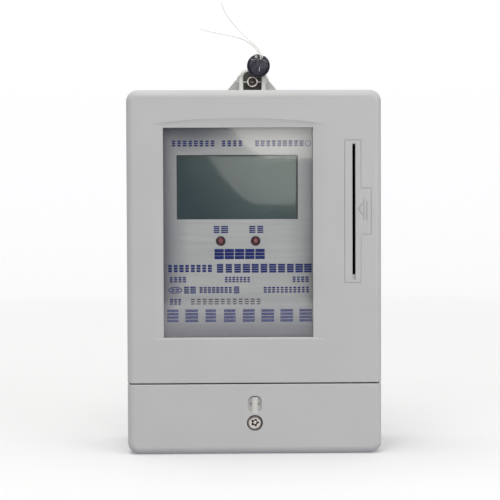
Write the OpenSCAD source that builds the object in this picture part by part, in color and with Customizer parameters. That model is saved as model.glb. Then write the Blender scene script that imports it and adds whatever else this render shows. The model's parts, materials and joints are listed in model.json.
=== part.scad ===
// Single-phase prepaid electricity meter.
// X runs to the right, -Y is the front, +Z is up.
// The origin is on the surface that the meter stands on, under the middle of the housing.

/* [Housing] */
// Width of the housing
body_w = 112; // [111:0.5:114]
// Height of the housing, without its hanging lug
body_h = 160; // [159:0.5:163]
// Depth from the wall to the front face
body_d = 58; // [58:0.5:62]
// Radius of the outline's corners
corner_r = 5; // [4:0.5:7]
// Radius of the front edge
edge_r = 3.2; // [2.5:0.1:3.8]
// Wall thickness of the covers
wall = 2.2; // [1.8:0.1:2.4]
// Wall thickness of the base
base_wall = 2.5; // [2:0.1:3]
// Where the covers meet the base, counted from the middle of the depth
seam_y = 5; // [4.5:0.1:5.5]
// Height of the line between the front cover and the terminal cover
split_z = 31; // [30.4:0.1:31.4]

/* [Window] */
// Width of the window opening
window_w = 65.8; // [60:0.2:66]
// Height of the window opening
window_h = 92.2; // [88:0.1:93]
// Middle of the window, from the middle of the housing
window_x = -7; // [-8:0.5:-6]
// Lower edge of the window opening
window_z = 51.3; // [50:0.1:52]
// Depth of the trough round the window
trough_depth = 0.9; // [0.4:0.1:1.2]
// Thickness of the window lens
lens_t = 1.5; // [1:0.1:2]

/* [Display] */
// Width of the visible part of the display
lcd_w = 53.6; // [50:0.2:54]
// Height of the visible part of the display
lcd_h = 28.4; // [26:0.1:29]
// Lower edge of the visible part of the display
lcd_z = 103.2; // [102:0.1:104]
// Diameter of an indicator LED
led_d = 3; // [2.5:0.1:3.2]
// Height of the two LEDs
led_z = 93.6; // [92:0.1:95]
// Distance between the two LEDs
led_pitch = 15.4; // [14:0.1:17]

/* [Card slot] */
// Middle of the card slot, from the middle of the housing
slot_x = 43.8; // [43.6:0.1:44]
// Width of the card slot
slot_w = 1.4; // [1.2:0.1:1.6]
// Lower end of the card slot
slot_z = 76.6; // [76:0.1:77]
// Length of the card slot
slot_h = 59.7; // [58:0.1:60]

/* [Terminals] */
// Distance between the two terminals of a pair
terminal_pitch = 17; // [16.5:0.1:17.5]
// Radius of a main terminal's bore
bore_r = 3.5; // [3:0.1:3.5]
// Radius of an auxiliary terminal's bore
aux_bore_r = 1.3; // [1:0.1:1.4]
// Distance between the two lower fixing holes
fixing_pitch = 96; // [95.5:0.1:96.5]
// Radius of a lower fixing hole
fixing_r = 2.6; // [2.2:0.1:2.8]

/* [Seal] */
// Diameter of the seal
seal_d = 10.4; // [9:0.1:10.6]
// Thickness of the seal
seal_t = 3.7; // [3:0.1:3.8]
// Diameter of the seal wire
wire_d = 0.6; // [0.5:0.05:0.7]

/* [Hidden] */

$fn = 48;
// Facet count of the shapes inside a hull
hull_fn = 32;
// How far a cutting shape runs past the face it cuts
over = 0.5;
// Gap between neighbouring parts that only lie beside each other
gap = 0.1;
// Running clearance on a radius
run_fit = 0.05;

// Colours
shell_grey = "#b4b4b0";
board_green = "#1f5a3a";
steel = "#b9b5ae";
brass = "#c2a050";
copper = "#b8734a";
near_black = "#26262a";
seal_navy = "#3c3b49";
tin = "#c9c9c9";

// Main planes
y_front = -body_d / 2;
y_back = body_d / 2;
cover_back = seam_y - 0.3;
base_front = seam_y + 0.3;
inner_front = y_front + wall;
inner_back = y_back - base_wall;
split_gap = 0.25;

// Window
window_x0 = window_x - window_w / 2;
window_x1 = window_x + window_w / 2;
window_z1 = window_z + window_h;
trough_side = 5;
trough_right = 6.1;
trough_top = 1.7;
trough_arch = 2.4;
trough_bottom = 0.7;
trough_rim = 0.5;
frame_t = 1.5;
lens_edge = 3;
lens_y = inner_front + gap;
nameplate_t = 0.4;
nameplate_y = inner_front + 4.6;
frame_depth = 5.8;

// Display
lcd_x = window_x - 0.3;
lcd_glass_t = 2.8;
lcd_margin = 3;
holder_t = 1.8;
led_x = window_x;

// Main board
board_x0 = -50;
board_x1 = 34;
board_z0 = 38;
board_z1 = 150;
board_y = -9;
board_t = 1.6;
board_rear = board_y + board_t;
post_x = [-46, 30];
post_z = [42.5, 146];
post_r = 2.6;

// Hanging lug, sealing tab and the screw through them
tab_half = 6.15;
tab_wall = 2.05;
tab_top = body_h + 10.8;
tab_front = -1.5;
tab_floor = 2;
seal_axis_y = 0.9;
seal_axis_z = body_h + 5.4;
wire_hole_r = 0.6;
lug_half = 11.3;
lug_t = 4.2;
lug_boss_end = 15;

// Keyhole in the back
key_z = body_h - 26;
key_r = 4.5;
key_slot_r = 2.3;
key_travel = 11;
key_lip = 2.2;
key_depth = 7.5;

// Terminal chamber
fixing_z = 14;
ear_x = 48;
ear_z = 27.5;
block_half = 42;
block_front = -16;
block_back = 9;
block_z0 = 3;
block_z1 = 30;
brass_half = 5;
brass_y0 = -8;
brass_y1 = 5;
brass_z0 = 4;
brass_z1 = 29;
bore_z1 = 26;
entry_half = 4.4;
screw_zs = [10, 22];
main_xs = [-2 * terminal_pitch, -terminal_pitch, terminal_pitch, 2 * terminal_pitch];
aux_x = 6.5;
aux_half = 2.4;
aux_z = 22;
pillar_z = 13.6;
pillar_r = 4.4;
cover_screw_r = 1.75;
cover_head_r = 3.2;
cover_head_y = 1.2;
block_screw_x = 1.5 * terminal_pitch;
block_screw_z = 25;
bar_y = 6.5;
bar_t = 1.5;
bar_half = 4;

// Seal
seal_x = 2.7;
seal_z = seal_axis_z + 6.9;
seal_front = -5.6;

// Relay
relay_x0 = -42;
relay_x1 = -10;
relay_z0 = 50;
relay_z1 = 82;
relay_y1 = 13;
relay_wall = 1.2;
coil_z = 71;
armature_pivot_x = -38;
armature_pivot_z = 59;

// Card reader
guide_x0 = 39.5;
guide_x1 = 48.2;
guide_z0 = 73;
guide_z1 = 140;
guide_end = 23;
channel_end = 21;
slot_sill = 2.2;
lever_x = 41;
lever_y = 12;
lever_z = 106;
lever_pin_r = 0.8;
contact_z = slot_z + slot_h / 2;

// Route of the wire loop: out of the seal, through the tab and the screw, back into the seal
loop_route = [
    [-1.4, -3.8, 170.2], [-2.8, -3.6, 170.0], [-4.1, -3.2, 169.6], [-5.3, -2.6, 168.9],
    [-6.3, -2.0, 167.9], [-6.85, -1.2, 166.9], [-7.05, -0.4, 166.1], [-7.05, 0.3, 165.6],
    [-6.8, 0.8, 165.4], [-6.3, 0.9, 165.4], [6.3, 0.9, 165.4], [6.8, 0.8, 165.4],
    [7.1, 0.3, 165.7], [7.15, -0.5, 166.3], [6.95, -1.4, 167.0], [6.5, -2.3, 167.7],
    [5.9, -3.1, 168.4], [5.3, -3.7, 169.1]
];
// Route of the tail that stands higher
tail_a_route = [
    [4.6, -3.9, 175.0], [4.5, -3.9, 176.4], [4.0, -3.9, 177.7], [3.3, -3.9, 179.0],
    [2.4, -3.9, 180.3], [1.3, -3.9, 181.6], [0.0, -4.0, 182.8], [-1.4, -4.1, 184.0],
    [-2.8, -4.2, 185.3], [-4.3, -4.4, 186.7], [-5.7, -4.6, 188.1], [-7.1, -4.8, 189.6],
    [-8.4, -5.1, 191.1], [-9.7, -5.4, 192.7], [-10.9, -5.7, 194.3], [-11.9, -6.0, 195.9],
    [-12.7, -6.3, 197.3], [-13.2, -6.6, 198.7], [-13.6, -6.8, 200.0], [-13.9, -7.0, 201.3]
];
// Route of the tail that bends to the left
tail_b_route = [
    [3.8, -3.4, 175.0], [3.7, -3.4, 176.4], [3.2, -3.4, 177.6], [2.5, -3.4, 178.8],
    [1.6, -3.3, 180.0], [0.5, -3.2, 181.2], [-0.8, -3.1, 182.3], [-2.2, -3.0, 183.3],
    [-3.7, -2.8, 184.2], [-5.3, -2.6, 184.9], [-7.0, -2.4, 185.5], [-8.9, -2.2, 186.0],
    [-10.8, -2.0, 186.4], [-12.7, -1.8, 186.8], [-14.6, -1.6, 187.2], [-16.5, -1.4, 187.6],
    [-18.4, -1.2, 188.0], [-20.2, -1.0, 188.5], [-22.0, -0.8, 189.0], [-23.6, -0.6, 189.6]
];

// ---------- helpers ----------

module block3(x0, x1, y0, y1, z0, z1) {
    translate([x0, y0, z0]) cube([x1 - x0, y1 - y0, z1 - z0]);
}

// Cylinder along Y
module rod_y(x, z, r, y0, y1) {
    translate([x, y1, z]) rotate([90, 0, 0]) cylinder(r = r, h = y1 - y0);
}

// Cylinder along Z
module rod_z(x, y, r, z0, z1) {
    translate([x, y, z0]) cylinder(r = r, h = z1 - z0);
}

// Cylinder along X
module rod_x(y, z, r, x0, x1) {
    translate([x0, y, z]) rotate([0, 90, 0]) cylinder(r = r, h = x1 - x0);
}

// A profile drawn in X and Z, drawn out from y0 to y1
module along_y(y0, y1) {
    translate([0, y1, 0]) rotate([90, 0, 0]) linear_extrude(height = y1 - y0) children();
}

module round_rect(x0, x1, z0, z1, r) {
    hull()
        for (x = [x0 + r, x1 - r], z = [z0 + r, z1 - r])
            translate([x, z]) circle(r = r, $fn = hull_fn);
}

// One corner of the housing: a post along Y whose front edge is rounded and back edge is eased
module corner_post(x, z) {
    ease = 0.8;
    translate([x, y_front + edge_r, z]) rotate([90, 0, 0])
        rotate_extrude($fn = hull_fn) intersection() {
            translate([corner_r - edge_r, 0]) circle(r = edge_r, $fn = hull_fn);
            square([corner_r, edge_r]);
        }
    translate([x, y_back - ease, z]) rotate([90, 0, 0])
        cylinder(r = corner_r, h = body_d - ease - edge_r, $fn = hull_fn);
    translate([x, y_back, z]) rotate([90, 0, 0])
        cylinder(r = corner_r - ease, h = 1, $fn = hull_fn);
}

// The whole housing as one solid block
module housing_form() {
    hull()
        for (x = [-1, 1], z = [corner_r, body_h - corner_r])
            corner_post(x * (body_w / 2 - corner_r), z);
}

// The hollow of a shell with the given wall
module hollow(t, y0, y1) {
    along_y(y0, y1) round_rect(t - body_w / 2, body_w / 2 - t, t, body_h - t, corner_r - t);
}

// A tube of radius r that follows a list of points
function unit(v) = v / norm(v);
function heading(p, i) = unit(p[min(i + 1, len(p) - 1)] - p[max(i - 1, 0)]);
function ring_at(p, i, r, sides) =
    let (t = heading(p, i), u = unit(cross(t, [0, 1, 0])), v = cross(t, u))
    [for (k = [0:sides - 1]) p[i] + r * (cos(360 * k / sides) * u + sin(360 * k / sides) * v)];
module wire(route, r) {
    sides = 8;
    last = len(route) - 1;
    polyhedron(
        points = [for (i = [0:last]) for (q = ring_at(route, i, r, sides)) q],
        faces = concat(
            [[for (k = [0:sides - 1]) k]],
            [for (i = [0:last - 1]) for (k = [0:sides - 1])
                [i * sides + k, (i + 1) * sides + k,
                 (i + 1) * sides + (k + 1) % sides, i * sides + (k + 1) % sides]],
            [[for (k = [sides - 1:-1:0]) last * sides + k]]
        )
    );
}

// A cross recess cut into a screw head whose face is at y0
module cross_recess(x, z, y0, depth, span, w) {
    block3(x - span / 2, x + span / 2, y0 - over, y0 + depth, z - w / 2, z + w / 2);
    block3(x - w / 2, x + w / 2, y0 - over, y0 + depth, z - span / 2, z + span / 2);
}

// A screw along Y with its head at the front
module screw_y(x, z, head_r, head_y0, head_y1, shank_r, tip_y) {
    difference() {
        union() {
            rod_y(x, z, head_r, head_y0, head_y1);
            rod_y(x, z, shank_r, head_y1 - 0.1, tip_y);
        }
        cross_recess(x, z, head_y0, (head_y1 - head_y0) * 0.55, head_r * 1.3, head_r * 0.28);
    }
}

// ---------- housing ----------

// Outline of the hanging lug
module lug_outline() {
    polygon([
        [-lug_half, body_h - 1], [lug_half, body_h - 1], [lug_half, body_h + 2],
        [4.6, body_h + 10], [-4.6, body_h + 10], [-lug_half, body_h + 2]
    ]);
}

module base_body() {
    intersection() {
        housing_form();
        block3(-body_w, body_w, base_front, y_back + over, -over, body_h + over);
    }
    along_y(base_front, base_front + lug_t) lug_outline();
    rod_y(0, seal_axis_z, 3.6, base_front + lug_t - 0.2, lug_boss_end);
    // Gussets that prop the lug from behind
    for (x = [-7.5, 0, 7.5])
        translate([x - 0.9, 0, 0]) rotate([90, 0, 90]) linear_extrude(height = 1.8)
            polygon([[base_front + lug_t - 0.2, body_h - 1], [base_front + lug_t + 9, body_h - 1],
                     [base_front + lug_t + 9, body_h + 0.4], [base_front + lug_t - 0.2, body_h + 5]]);
}

module base_inner_parts() {
    for (x = post_x, z = post_z) rod_y(x, z, post_r, board_rear + gap, inner_back + 0.2);
    for (s = [-1, 1]) {
        rod_y(s * ear_x, ear_z, 3.5, base_front, inner_back + 0.2);
        rod_y(s * fixing_pitch / 2, fixing_z, 4.5, block_back, inner_back + 0.2);
        rod_y(s * block_screw_x, block_screw_z, 4, block_back + gap, inner_back + 0.2);
        // Rests for the back of the terminal block
        block3(s * 34 - 1, s * 34 + 1, block_back + gap, inner_back + 0.2, base_wall - 0.2, 22);
    }
    // Wall between the terminal chamber and the works, open where the bars pass
    difference() {
        block3(base_wall - body_w / 2 - 0.2, body_w / 2 - base_wall + 0.2,
               base_front, inner_back + 0.2, split_z + split_gap, split_z + split_gap + 2);
        for (x = [main_xs[0], main_xs[1]])
            block3(x - bar_half - 1, x + bar_half + 1, base_front - over, bar_y + bar_t + 1,
                   split_z - 1, split_z + 4);
        block3(main_xs[2] - bar_half - 1, main_xs[3] + bar_half + 1, base_front - over,
               bar_y + bar_t + 1, split_z - 1, split_z + 4);
    }
    block3(-11, 11, y_back - key_depth - 1.8, inner_back + 0.2, key_z - 8, body_h - base_wall + 0.2);
    // Feet that carry the card guide
    for (z = [guide_z0 + 6, guide_z1 - 6])
        block3(guide_x0 + 1, guide_x1 - 1, guide_end + gap, inner_back + 0.2, z - 3, z + 3);
}

module base_shell() {
    color(shell_grey)
    difference() {
        union() {
            difference() {
                base_body();
                hollow(base_wall, base_front - over, inner_back);
            }
            base_inner_parts();
        }
        // Thread of the sealing screw
        rod_y(0, seal_axis_z, 1.5, base_front - over, lug_boss_end - 1);
        // Pilot holes
        for (x = post_x, z = post_z) rod_y(x, z, 1.2, board_rear - over, 4);
        for (s = [-1, 1]) {
            rod_y(s * ear_x, ear_z, 1.5, base_front - over, 22);
            rod_y(s * fixing_pitch / 2, fixing_z, fixing_r, block_back - over, y_back + over);
            rod_y(s * block_screw_x, block_screw_z, 1.5, block_back - over, 22);
        }
        // Keyhole: a pocket with an undercut behind its lip
        rod_y(0, key_z, key_r, y_back - key_depth, y_back + over);
        block3(-key_slot_r, key_slot_r, y_back - key_depth, y_back + over, key_z, key_z + key_travel);
        rod_y(0, key_z + key_travel, key_slot_r, y_back - key_depth, y_back + over);
        block3(-key_r, key_r, y_back - key_depth, y_back - key_lip, key_z, key_z + key_travel + 4.2);
    }
}

// Outline of the sealing tab, drawn up from inside the cover's top wall
module tab_outline() {
    round_rect(-tab_half, tab_half, body_h - 6, tab_top, 3.4);
}

module sealing_tab() {
    difference() {
        along_y(tab_front, cover_back) intersection() {
            tab_outline();
            translate([-tab_half - 1, body_h - 1]) square([2 * tab_half + 2, 20]);
        }
        // Well for the screw head
        along_y(tab_front - over, cover_back - tab_floor) intersection() {
            round_rect(tab_wall - tab_half, tab_half - tab_wall, body_h - 6, tab_top - 0.9, 2.6);
            translate([-tab_half, body_h + 0.4]) square([2 * tab_half, 20]);
        }
        rod_y(0, seal_axis_z, 1.6, -2, cover_back + over);
        rod_x(seal_axis_y, seal_axis_z, wire_hole_r, -tab_half - over, tab_half + over);
    }
}

// The shallow trough round the window: an arched slope above it, gentle slopes beside it, a step below it
module trough() {
    x0 = window_x0 - trough_side;
    x1 = window_x1 + trough_right;
    z0 = window_z - trough_bottom;
    z1 = window_z1 + trough_top;
    mid_x = (x0 + x1) / 2;
    half = (x1 - x0) / 2;
    steps = 6;
    thin = 0.01;
    hull() {
        along_y(y_front - thin, y_front) polygon(concat(
            [[x0, z0], [x1, z0]],
            [for (k = [steps:-1:-steps])
                [mid_x + half * k / steps, z1 + trough_arch * (1 - pow(k / steps, 2))]]
        ));
        block3(window_x0 - trough_rim, window_x1 + trough_rim, y_front, y_front + trough_depth,
               z0 + 0.6, window_z1 + trough_rim);
    }
}

// Outline moulded round the card slot, with a wider part in the middle for the card symbol
module slot_outline(grow) {
    translate([slot_x - 4.2 - grow, slot_z - 1.4 - grow])
        square([7.4 + 2 * grow, slot_h + 3.1 + 2 * grow]);
    translate([slot_x, 96.4 - grow]) square([7.7 + grow, 20.5 + 2 * grow]);
}

// Card symbol: an arrow towards the slot and two bars
module card_symbol() {
    bar_w = 0.45;
    translate([slot_x + 1.4, 107.6])
        polygon([[0, 0], [2.3, 2.9], [2.3, 1.9], [0.9, 0], [2.3, -1.9], [2.3, -2.9]]);
    translate([slot_x + 4.1, 103]) square([bar_w, 9]);
    translate([slot_x + 5.4, 102.6]) square([bar_w, 8.4]);
}

module front_cover() {
    groove = 0.22;
    line = 0.28;
    color(shell_grey) {
        difference() {
            union() {
                difference() {
                    intersection() {
                        housing_form();
                        block3(-body_w, body_w, y_front - over, cover_back,
                               split_z + split_gap, body_h + over);
                    }
                    difference() {
                        hollow(wall, inner_front, cover_back + over);
                        // Floor of the cover
                        block3(-body_w, body_w, y_front, cover_back + 1, 0, split_z + split_gap + wall);
                    }
                }
                // Frame that carries the lens and the nameplate
                block3(window_x0 - lens_edge - frame_t, window_x1 + lens_edge + frame_t,
                       inner_front - 0.2, inner_front + frame_depth,
                       window_z - lens_edge - frame_t, window_z1 + lens_edge + frame_t);
                sealing_tab();
                // Ears for the two lower screws
                for (s = [-1, 1])
                    block3(s * ear_x - 3.5, s * ear_x + 3.5, 1.5, cover_back, ear_z - 3.5, split_z + 1);
            }
            block3(window_x0 - lens_edge, window_x1 + lens_edge, inner_front,
                   inner_front + frame_depth + over, window_z - lens_edge, window_z1 + lens_edge);
            block3(window_x0, window_x1, y_front - over, inner_front + over, window_z, window_z1);
            trough();
            block3(slot_x - slot_w / 2, slot_x + slot_w / 2, y_front - over, inner_front + over,
                   slot_z + slot_sill, slot_z + slot_h);
            // Shallow sill at the slot's lower end
            block3(slot_x - slot_w / 2, slot_x + slot_w / 2, y_front - over, y_front + 0.9,
                   slot_z, slot_z + slot_sill + over);
            // Moulded line round the slot
            along_y(y_front - over, y_front + groove) difference() {
                slot_outline(0);
                slot_outline(-line);
            }
            along_y(y_front - over, y_front + groove) card_symbol();
            for (s = [-1, 1]) rod_y(s * ear_x, ear_z, 1.7, 1, cover_back + over);
        }
    }
}

module cover_gasket() {
    color(near_black)
    along_y(cover_back, base_front) difference() {
        round_rect(0.8 - body_w / 2, body_w / 2 - 0.8, split_z + 0.6, body_h - 0.8, 2);
        round_rect(1.9 - body_w / 2, body_w / 2 - 1.9, split_z + 1.7, body_h - 1.9, 1.2);
    }
}

module window_lens() {
    color("#dfe6ea", 0.35)
    block3(window_x0 - lens_edge + gap, window_x1 + lens_edge - gap, lens_y, lens_y + lens_t,
           window_z - lens_edge + gap, window_z1 + lens_edge - gap);
}

module terminal_cover() {
    eye_z0 = 18;
    eye_z1 = 25.6;
    eye_half = 3.1;
    eye_slope = 0.6;
    eye_depth = 1.3;
    rib_r = 1.7;
    rib_top = eye_z1 - eye_slope;
    color(shell_grey)
    difference() {
        union() {
            difference() {
                intersection() {
                    housing_form();
                    block3(-body_w, body_w, y_front - over, seam_y, -over, split_z - split_gap);
                }
                hollow(wall, inner_front, seam_y + over);
            }
            rod_y(0, pillar_z, pillar_r, inner_front - 0.2, -21);
            block3(-4.8, 4.8, inner_front - 0.2, y_front + 3.5, pillar_z, eye_z1 + 0.9);
        }
        // Seat and hole of the captive screw
        rod_y(0, pillar_z, cover_head_r + 0.35, y_front - over, y_front + cover_head_y + 2.3);
        rod_y(0, pillar_z, cover_screw_r + run_fit, y_front, -20);
        // Seal eye: a half-round rib standing in a shallow dish, with a hole across it
        difference() {
            hull() {
                along_y(y_front - over, y_front) round_rect(-eye_half, eye_half, eye_z0, eye_z1, 2.3);
                along_y(y_front + eye_depth - 0.01, y_front + eye_depth)
                    round_rect(eye_slope - eye_half, eye_half - eye_slope, eye_z0 + eye_slope, rib_top, 1.7);
            }
            rod_z(0, y_front + rib_r, rib_r, eye_z0 - 1, rib_top);
        }
        rod_x(y_front + 1.25, (eye_z0 + eye_z1) / 2, 0.65, 0.9 - eye_half, eye_half - 0.9);
        // Cable notches, open at the back so that the cover lifts off over the cables
        for (x = main_xs)
            block3(x - brass_half, x + brass_half, -5.2, seam_y + over, -over, wall + over);
        block3(-aux_x - 2.5, aux_x + 2.5, -3, seam_y + over, -over, wall + over);
    }
}

module terminal_cover_screw() {
    color(steel)
    difference() {
        union() {
            rod_y(0, pillar_z, cover_head_r, y_front + cover_head_y, y_front + cover_head_y + 2.25);
            rod_y(0, pillar_z, cover_screw_r, y_front + cover_head_y + 2.2, -13);
        }
        cross_recess(0, pillar_z, y_front + cover_head_y, 1.3, 3.4, 0.9);
    }
}

module cover_seal_screw() {
    color(steel)
    difference() {
        screw_y(0, seal_axis_z, 2.5, -0.9, cover_back - tab_floor - 0.05, 1.4, lug_boss_end - 2);
        rod_x(seal_axis_y, seal_axis_z, wire_hole_r, -3, 3);
    }
}

module cover_screws() {
    color(steel)
    for (s = [-1, 1]) screw_y(s * ear_x, ear_z, 2.8, -1.2, 1.45, 1.4, 20);
}

// ---------- seal ----------

module seal_body() {
    r = seal_d / 2;
    rim = 0.75;
    face_depth = 0.45;
    color(seal_navy)
    difference() {
        union() {
            rod_y(seal_x, seal_z, r, seal_front, seal_front + seal_t);
            // Small nub beside the notch
            translate([seal_x, 0, seal_z]) rotate([0, -18, 0])
                block3(-0.9, 0.9, seal_front + 0.8, seal_front + seal_t - 0.8, r - 0.6, r + 0.2);
        }
        rod_y(seal_x, seal_z, r - rim, seal_front - over, seal_front + face_depth);
        // Notch where the two tails come out
        along_y(seal_front - over, seal_front + seal_t - 0.9)
            translate([seal_x, seal_z]) rotate(-22)
                polygon([[-0.5, 2.5], [0.5, 2.5], [1.5, 6], [-1.5, 6]]);
        block3(seal_x - 0.25, seal_x + 0.25, seal_front, seal_front + 1, seal_z - 1.5, seal_z + 0.7);
    }
}

module seal_wire() {
    color("#e4e2cf") wire(loop_route, wire_d / 2);
}

module seal_wire_tail_a() {
    color("#e4e2cf") wire(tail_a_route, wire_d / 2);
}

module seal_wire_tail_b() {
    color("#e4e2cf") wire(tail_b_route, wire_d / 2);
}

// ---------- terminals ----------

module terminal_block() {
    color("#2b2b2d")
    difference() {
        union() {
            block3(-block_half, block_half, block_front, block_back, block_z0, block_z1);
            rod_y(0, pillar_z, pillar_r, -20.5, block_front + 0.2);
        }
        for (x = main_xs) {
            block3(x - brass_half - gap, x + brass_half + gap, brass_y0 - gap, brass_y1 + gap,
                   brass_z0 - gap, block_z1 + over);
            block3(x - bar_half - gap, x + bar_half + gap, brass_y1 - over, block_back + over,
                   brass_z1 - gap, block_z1 + over);
            block3(x - entry_half, x + entry_half, -entry_half, entry_half, block_z0 - over, brass_z0);
            for (z = screw_zs) rod_y(x, z, 3.3, block_front - over, brass_y0);
        }
        for (s = [-1, 1]) {
            block3(s * aux_x - aux_half - gap, s * aux_x + aux_half + gap, -5 - gap, 4 + gap,
                   block_z0 - over, block_z1 + over);
            rod_y(s * aux_x, aux_z, 2, block_front - over, -5);
            rod_y(s * block_screw_x, block_screw_z, 3, block_front - over, 4);
            rod_y(s * block_screw_x, block_screw_z, 1.6, 3, block_back + over);
        }
        // Slots that part the terminals at the front
        for (x = [-block_screw_x, -11.2, 11.2, block_screw_x])
            block3(x - 0.8, x + 0.8, block_front - over, block_front + 5, block_z0 - over, 19);
        rod_y(0, pillar_z, cover_screw_r + run_fit, -21, -12);
    }
}

// A rectangular brass terminal with its bore along Z and two tapped holes along Y
module main_terminal(x) {
    color(brass)
    difference() {
        block3(x - brass_half, x + brass_half, brass_y0, brass_y1, brass_z0, brass_z1);
        rod_z(x, 0, bore_r, brass_z0 - over, bore_z1);
        for (z = screw_zs) rod_y(x, z, 2 + run_fit, brass_y0 - over, 0);
    }
}

module line_in_terminal() { main_terminal(main_xs[0]); }
module line_out_terminal() { main_terminal(main_xs[1]); }
module neutral_in_terminal() { main_terminal(main_xs[2]); }
module neutral_out_terminal() { main_terminal(main_xs[3]); }

// Terminal screw number n: 1 and 2 in the first terminal, 3 and 4 in the second, and so on
module terminal_screw(n) {
    color(steel)
    screw_y(main_xs[floor((n - 1) / 2)], screw_zs[(n - 1) % 2], 2.9, -14.8, -11.8, 2, -bore_r - 0.2);
}

module aux_terminals() {
    color(brass)
    for (s = [-1, 1]) difference() {
        block3(s * aux_x - aux_half, s * aux_x + aux_half, -5, 4, brass_z0, 28);
        rod_z(s * aux_x, 0, aux_bore_r, brass_z0 - over, bore_z1);
        rod_y(s * aux_x, aux_z, 1.25 + run_fit, -5 - over, 0);
    }
}

module aux_screw(s) {
    color(steel) screw_y(s * aux_x, aux_z, 1.8, -11, -9, 1.25, -aux_bore_r - 0.2);
}

module terminal_block_screws() {
    color(steel)
    for (s = [-1, 1]) screw_y(s * block_screw_x, block_screw_z, 2.7, 0.5, 2.95, 1.4, 21);
}

// ---------- display and indicators ----------

module nameplate() {
    color("#8f9295")
    difference() {
        block3(window_x0 - lens_edge + gap, window_x1 + lens_edge - gap, nameplate_y,
               nameplate_y + nameplate_t, window_z - lens_edge + gap, window_z1 + lens_edge - gap);
        block3(lcd_x - lcd_w / 2, lcd_x + lcd_w / 2, nameplate_y - over, nameplate_y + 1,
               lcd_z, lcd_z + lcd_h);
        for (s = [-1, 1])
            rod_y(led_x + s * led_pitch / 2, led_z, led_d / 2 + 0.35, nameplate_y - over, nameplate_y + 1);
    }
}

lcd_x0 = lcd_x - lcd_w / 2 - lcd_margin;
lcd_x1 = lcd_x + lcd_w / 2 + lcd_margin;
lcd_z0 = lcd_z - lcd_margin;
lcd_z1 = lcd_z + lcd_h + lcd_margin;
glass_y = nameplate_y + nameplate_t + gap;

module lcd_glass() {
    color("#65716f")
    block3(lcd_x0, lcd_x1, glass_y, glass_y + lcd_glass_t, lcd_z0, lcd_z1);
}

module lcd_holder() {
    color("#3a3c3f")
    difference() {
        block3(lcd_x0 - holder_t, lcd_x1 + holder_t, glass_y, board_y - gap,
               lcd_z0 - holder_t, lcd_z1 + holder_t);
        block3(lcd_x0 - gap, lcd_x1 + gap, glass_y - over, board_y + over, lcd_z0 - gap, lcd_z1 + gap);
    }
}

module lcd_backlight() {
    color("#d8dccf")
    block3(lcd_x0 + 0.5, lcd_x1 - 0.5, glass_y + lcd_glass_t + gap, glass_y + lcd_glass_t + 4,
           lcd_z0 + 2.2, lcd_z1 - 2.2);
}

module lcd_pins() {
    pin = 0.5;
    pitch = 3.2;
    count = 18;
    color(tin)
    for (k = [0:count - 1], z = [lcd_z0 + 0.7, lcd_z1 - 0.7 - pin])
        block3(lcd_x0 + 2 + k * pitch, lcd_x0 + 2 + k * pitch + pin, glass_y + lcd_glass_t, board_y,
               z, z + pin);
}

// A round LED looking forward, its two legs running back to the board
module led(x) {
    r = led_d / 2;
    base_y = nameplate_y + 3.2;
    color("#8c2a30") {
        translate([x, nameplate_y + 0.4, led_z]) rotate([90, 0, 0]) difference() {
            sphere(r = r);
            translate([0, 0, -r]) cube([2 * led_d, 2 * led_d, 2 * r], center = true);
        }
        rod_y(x, led_z, r, nameplate_y + 0.4, base_y);
        rod_y(x, led_z, r + 0.35, base_y - 0.1, base_y + 1);
        for (s = [-1, 1]) block3(x + s * 1.27 - 0.25, x + s * 1.27 + 0.25, base_y + 0.9, board_y,
                                 led_z - 0.25, led_z + 0.25);
    }
}

module led_alarm() { led(led_x - led_pitch / 2); }
module led_pulse() { led(led_x + led_pitch / 2); }

// ---------- main board ----------

module main_board() {
    color(board_green)
    difference() {
        block3(board_x0, board_x1, board_y, board_rear, board_z0, board_z1);
        for (x = post_x, z = post_z) rod_y(x, z, 1.7, board_y - over, board_rear + over);
    }
}

module board_screws() {
    color(steel)
    for (x = post_x, z = post_z) screw_y(x, z, 2.6, board_y - 2, board_y - 0.05, 1.1, 2);
}

module relay_housing() {
    w = relay_wall;
    color("#e2e4e6")
    difference() {
        block3(relay_x0, relay_x1, board_rear + gap, relay_y1, relay_z0, relay_z1);
        block3(relay_x0 + w, relay_x1 - w, board_rear + w + gap, relay_y1 - w, relay_z0 + w, relay_z1 - w);
    }
    // Pin that the armature turns on, joined to the back wall
    color("#e2e4e6") rod_y(armature_pivot_x, armature_pivot_z, 1, board_rear + w, relay_y1 - w + 0.1);
}

module relay_coil() {
    color(copper) {
        rod_x(3, coil_z, 7, -36, -18);
        for (x = [-38, -18]) rod_x(3, coil_z, 8.2, x, x + 2);
    }
}

// Armature: a hub on the pin, a long arm to the contacts and a short arm up to the coil
module relay_armature() {
    hub = 2.4;
    y0 = -1;
    y1 = 7;
    color(steel)
    difference() {
        union() {
            rod_y(armature_pivot_x, armature_pivot_z, hub, y0, y1);
            block3(armature_pivot_x, -16, y0 + 1, y1 - 1, armature_pivot_z - 0.9, armature_pivot_z + 0.9);
            rod_y(-16, armature_pivot_z, 1.6, y0 + 1, y1 - 1);
        }
        rod_y(armature_pivot_x, armature_pivot_z, 1 + run_fit, y0 - over, y1 + over);
    }
}

// A flat bar from the top of a terminal, back past the cover's floor and up to z1
module riser(x, z1) {
    block3(x - bar_half, x + bar_half, brass_y0 + 2, bar_y + bar_t, brass_z1, brass_z1 + 1.4);
    block3(x - bar_half, x + bar_half, bar_y, bar_y + bar_t, brass_z1, z1);
}

module line_in_bar() {
    color(copper) riser(main_xs[0], 38);
}

module current_shunt() {
    x = main_xs[0];
    color("#8a7a6a")
    difference() {
        block3(x - bar_half, x + bar_half, bar_y, bar_y + bar_t, 38, relay_z0);
        // Waist of the resistance alloy
        for (s = [-1, 1]) rod_y(x + s * (bar_half + 1.2), 44, 2.4, bar_y - over, bar_y + bar_t + over);
    }
}

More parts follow.
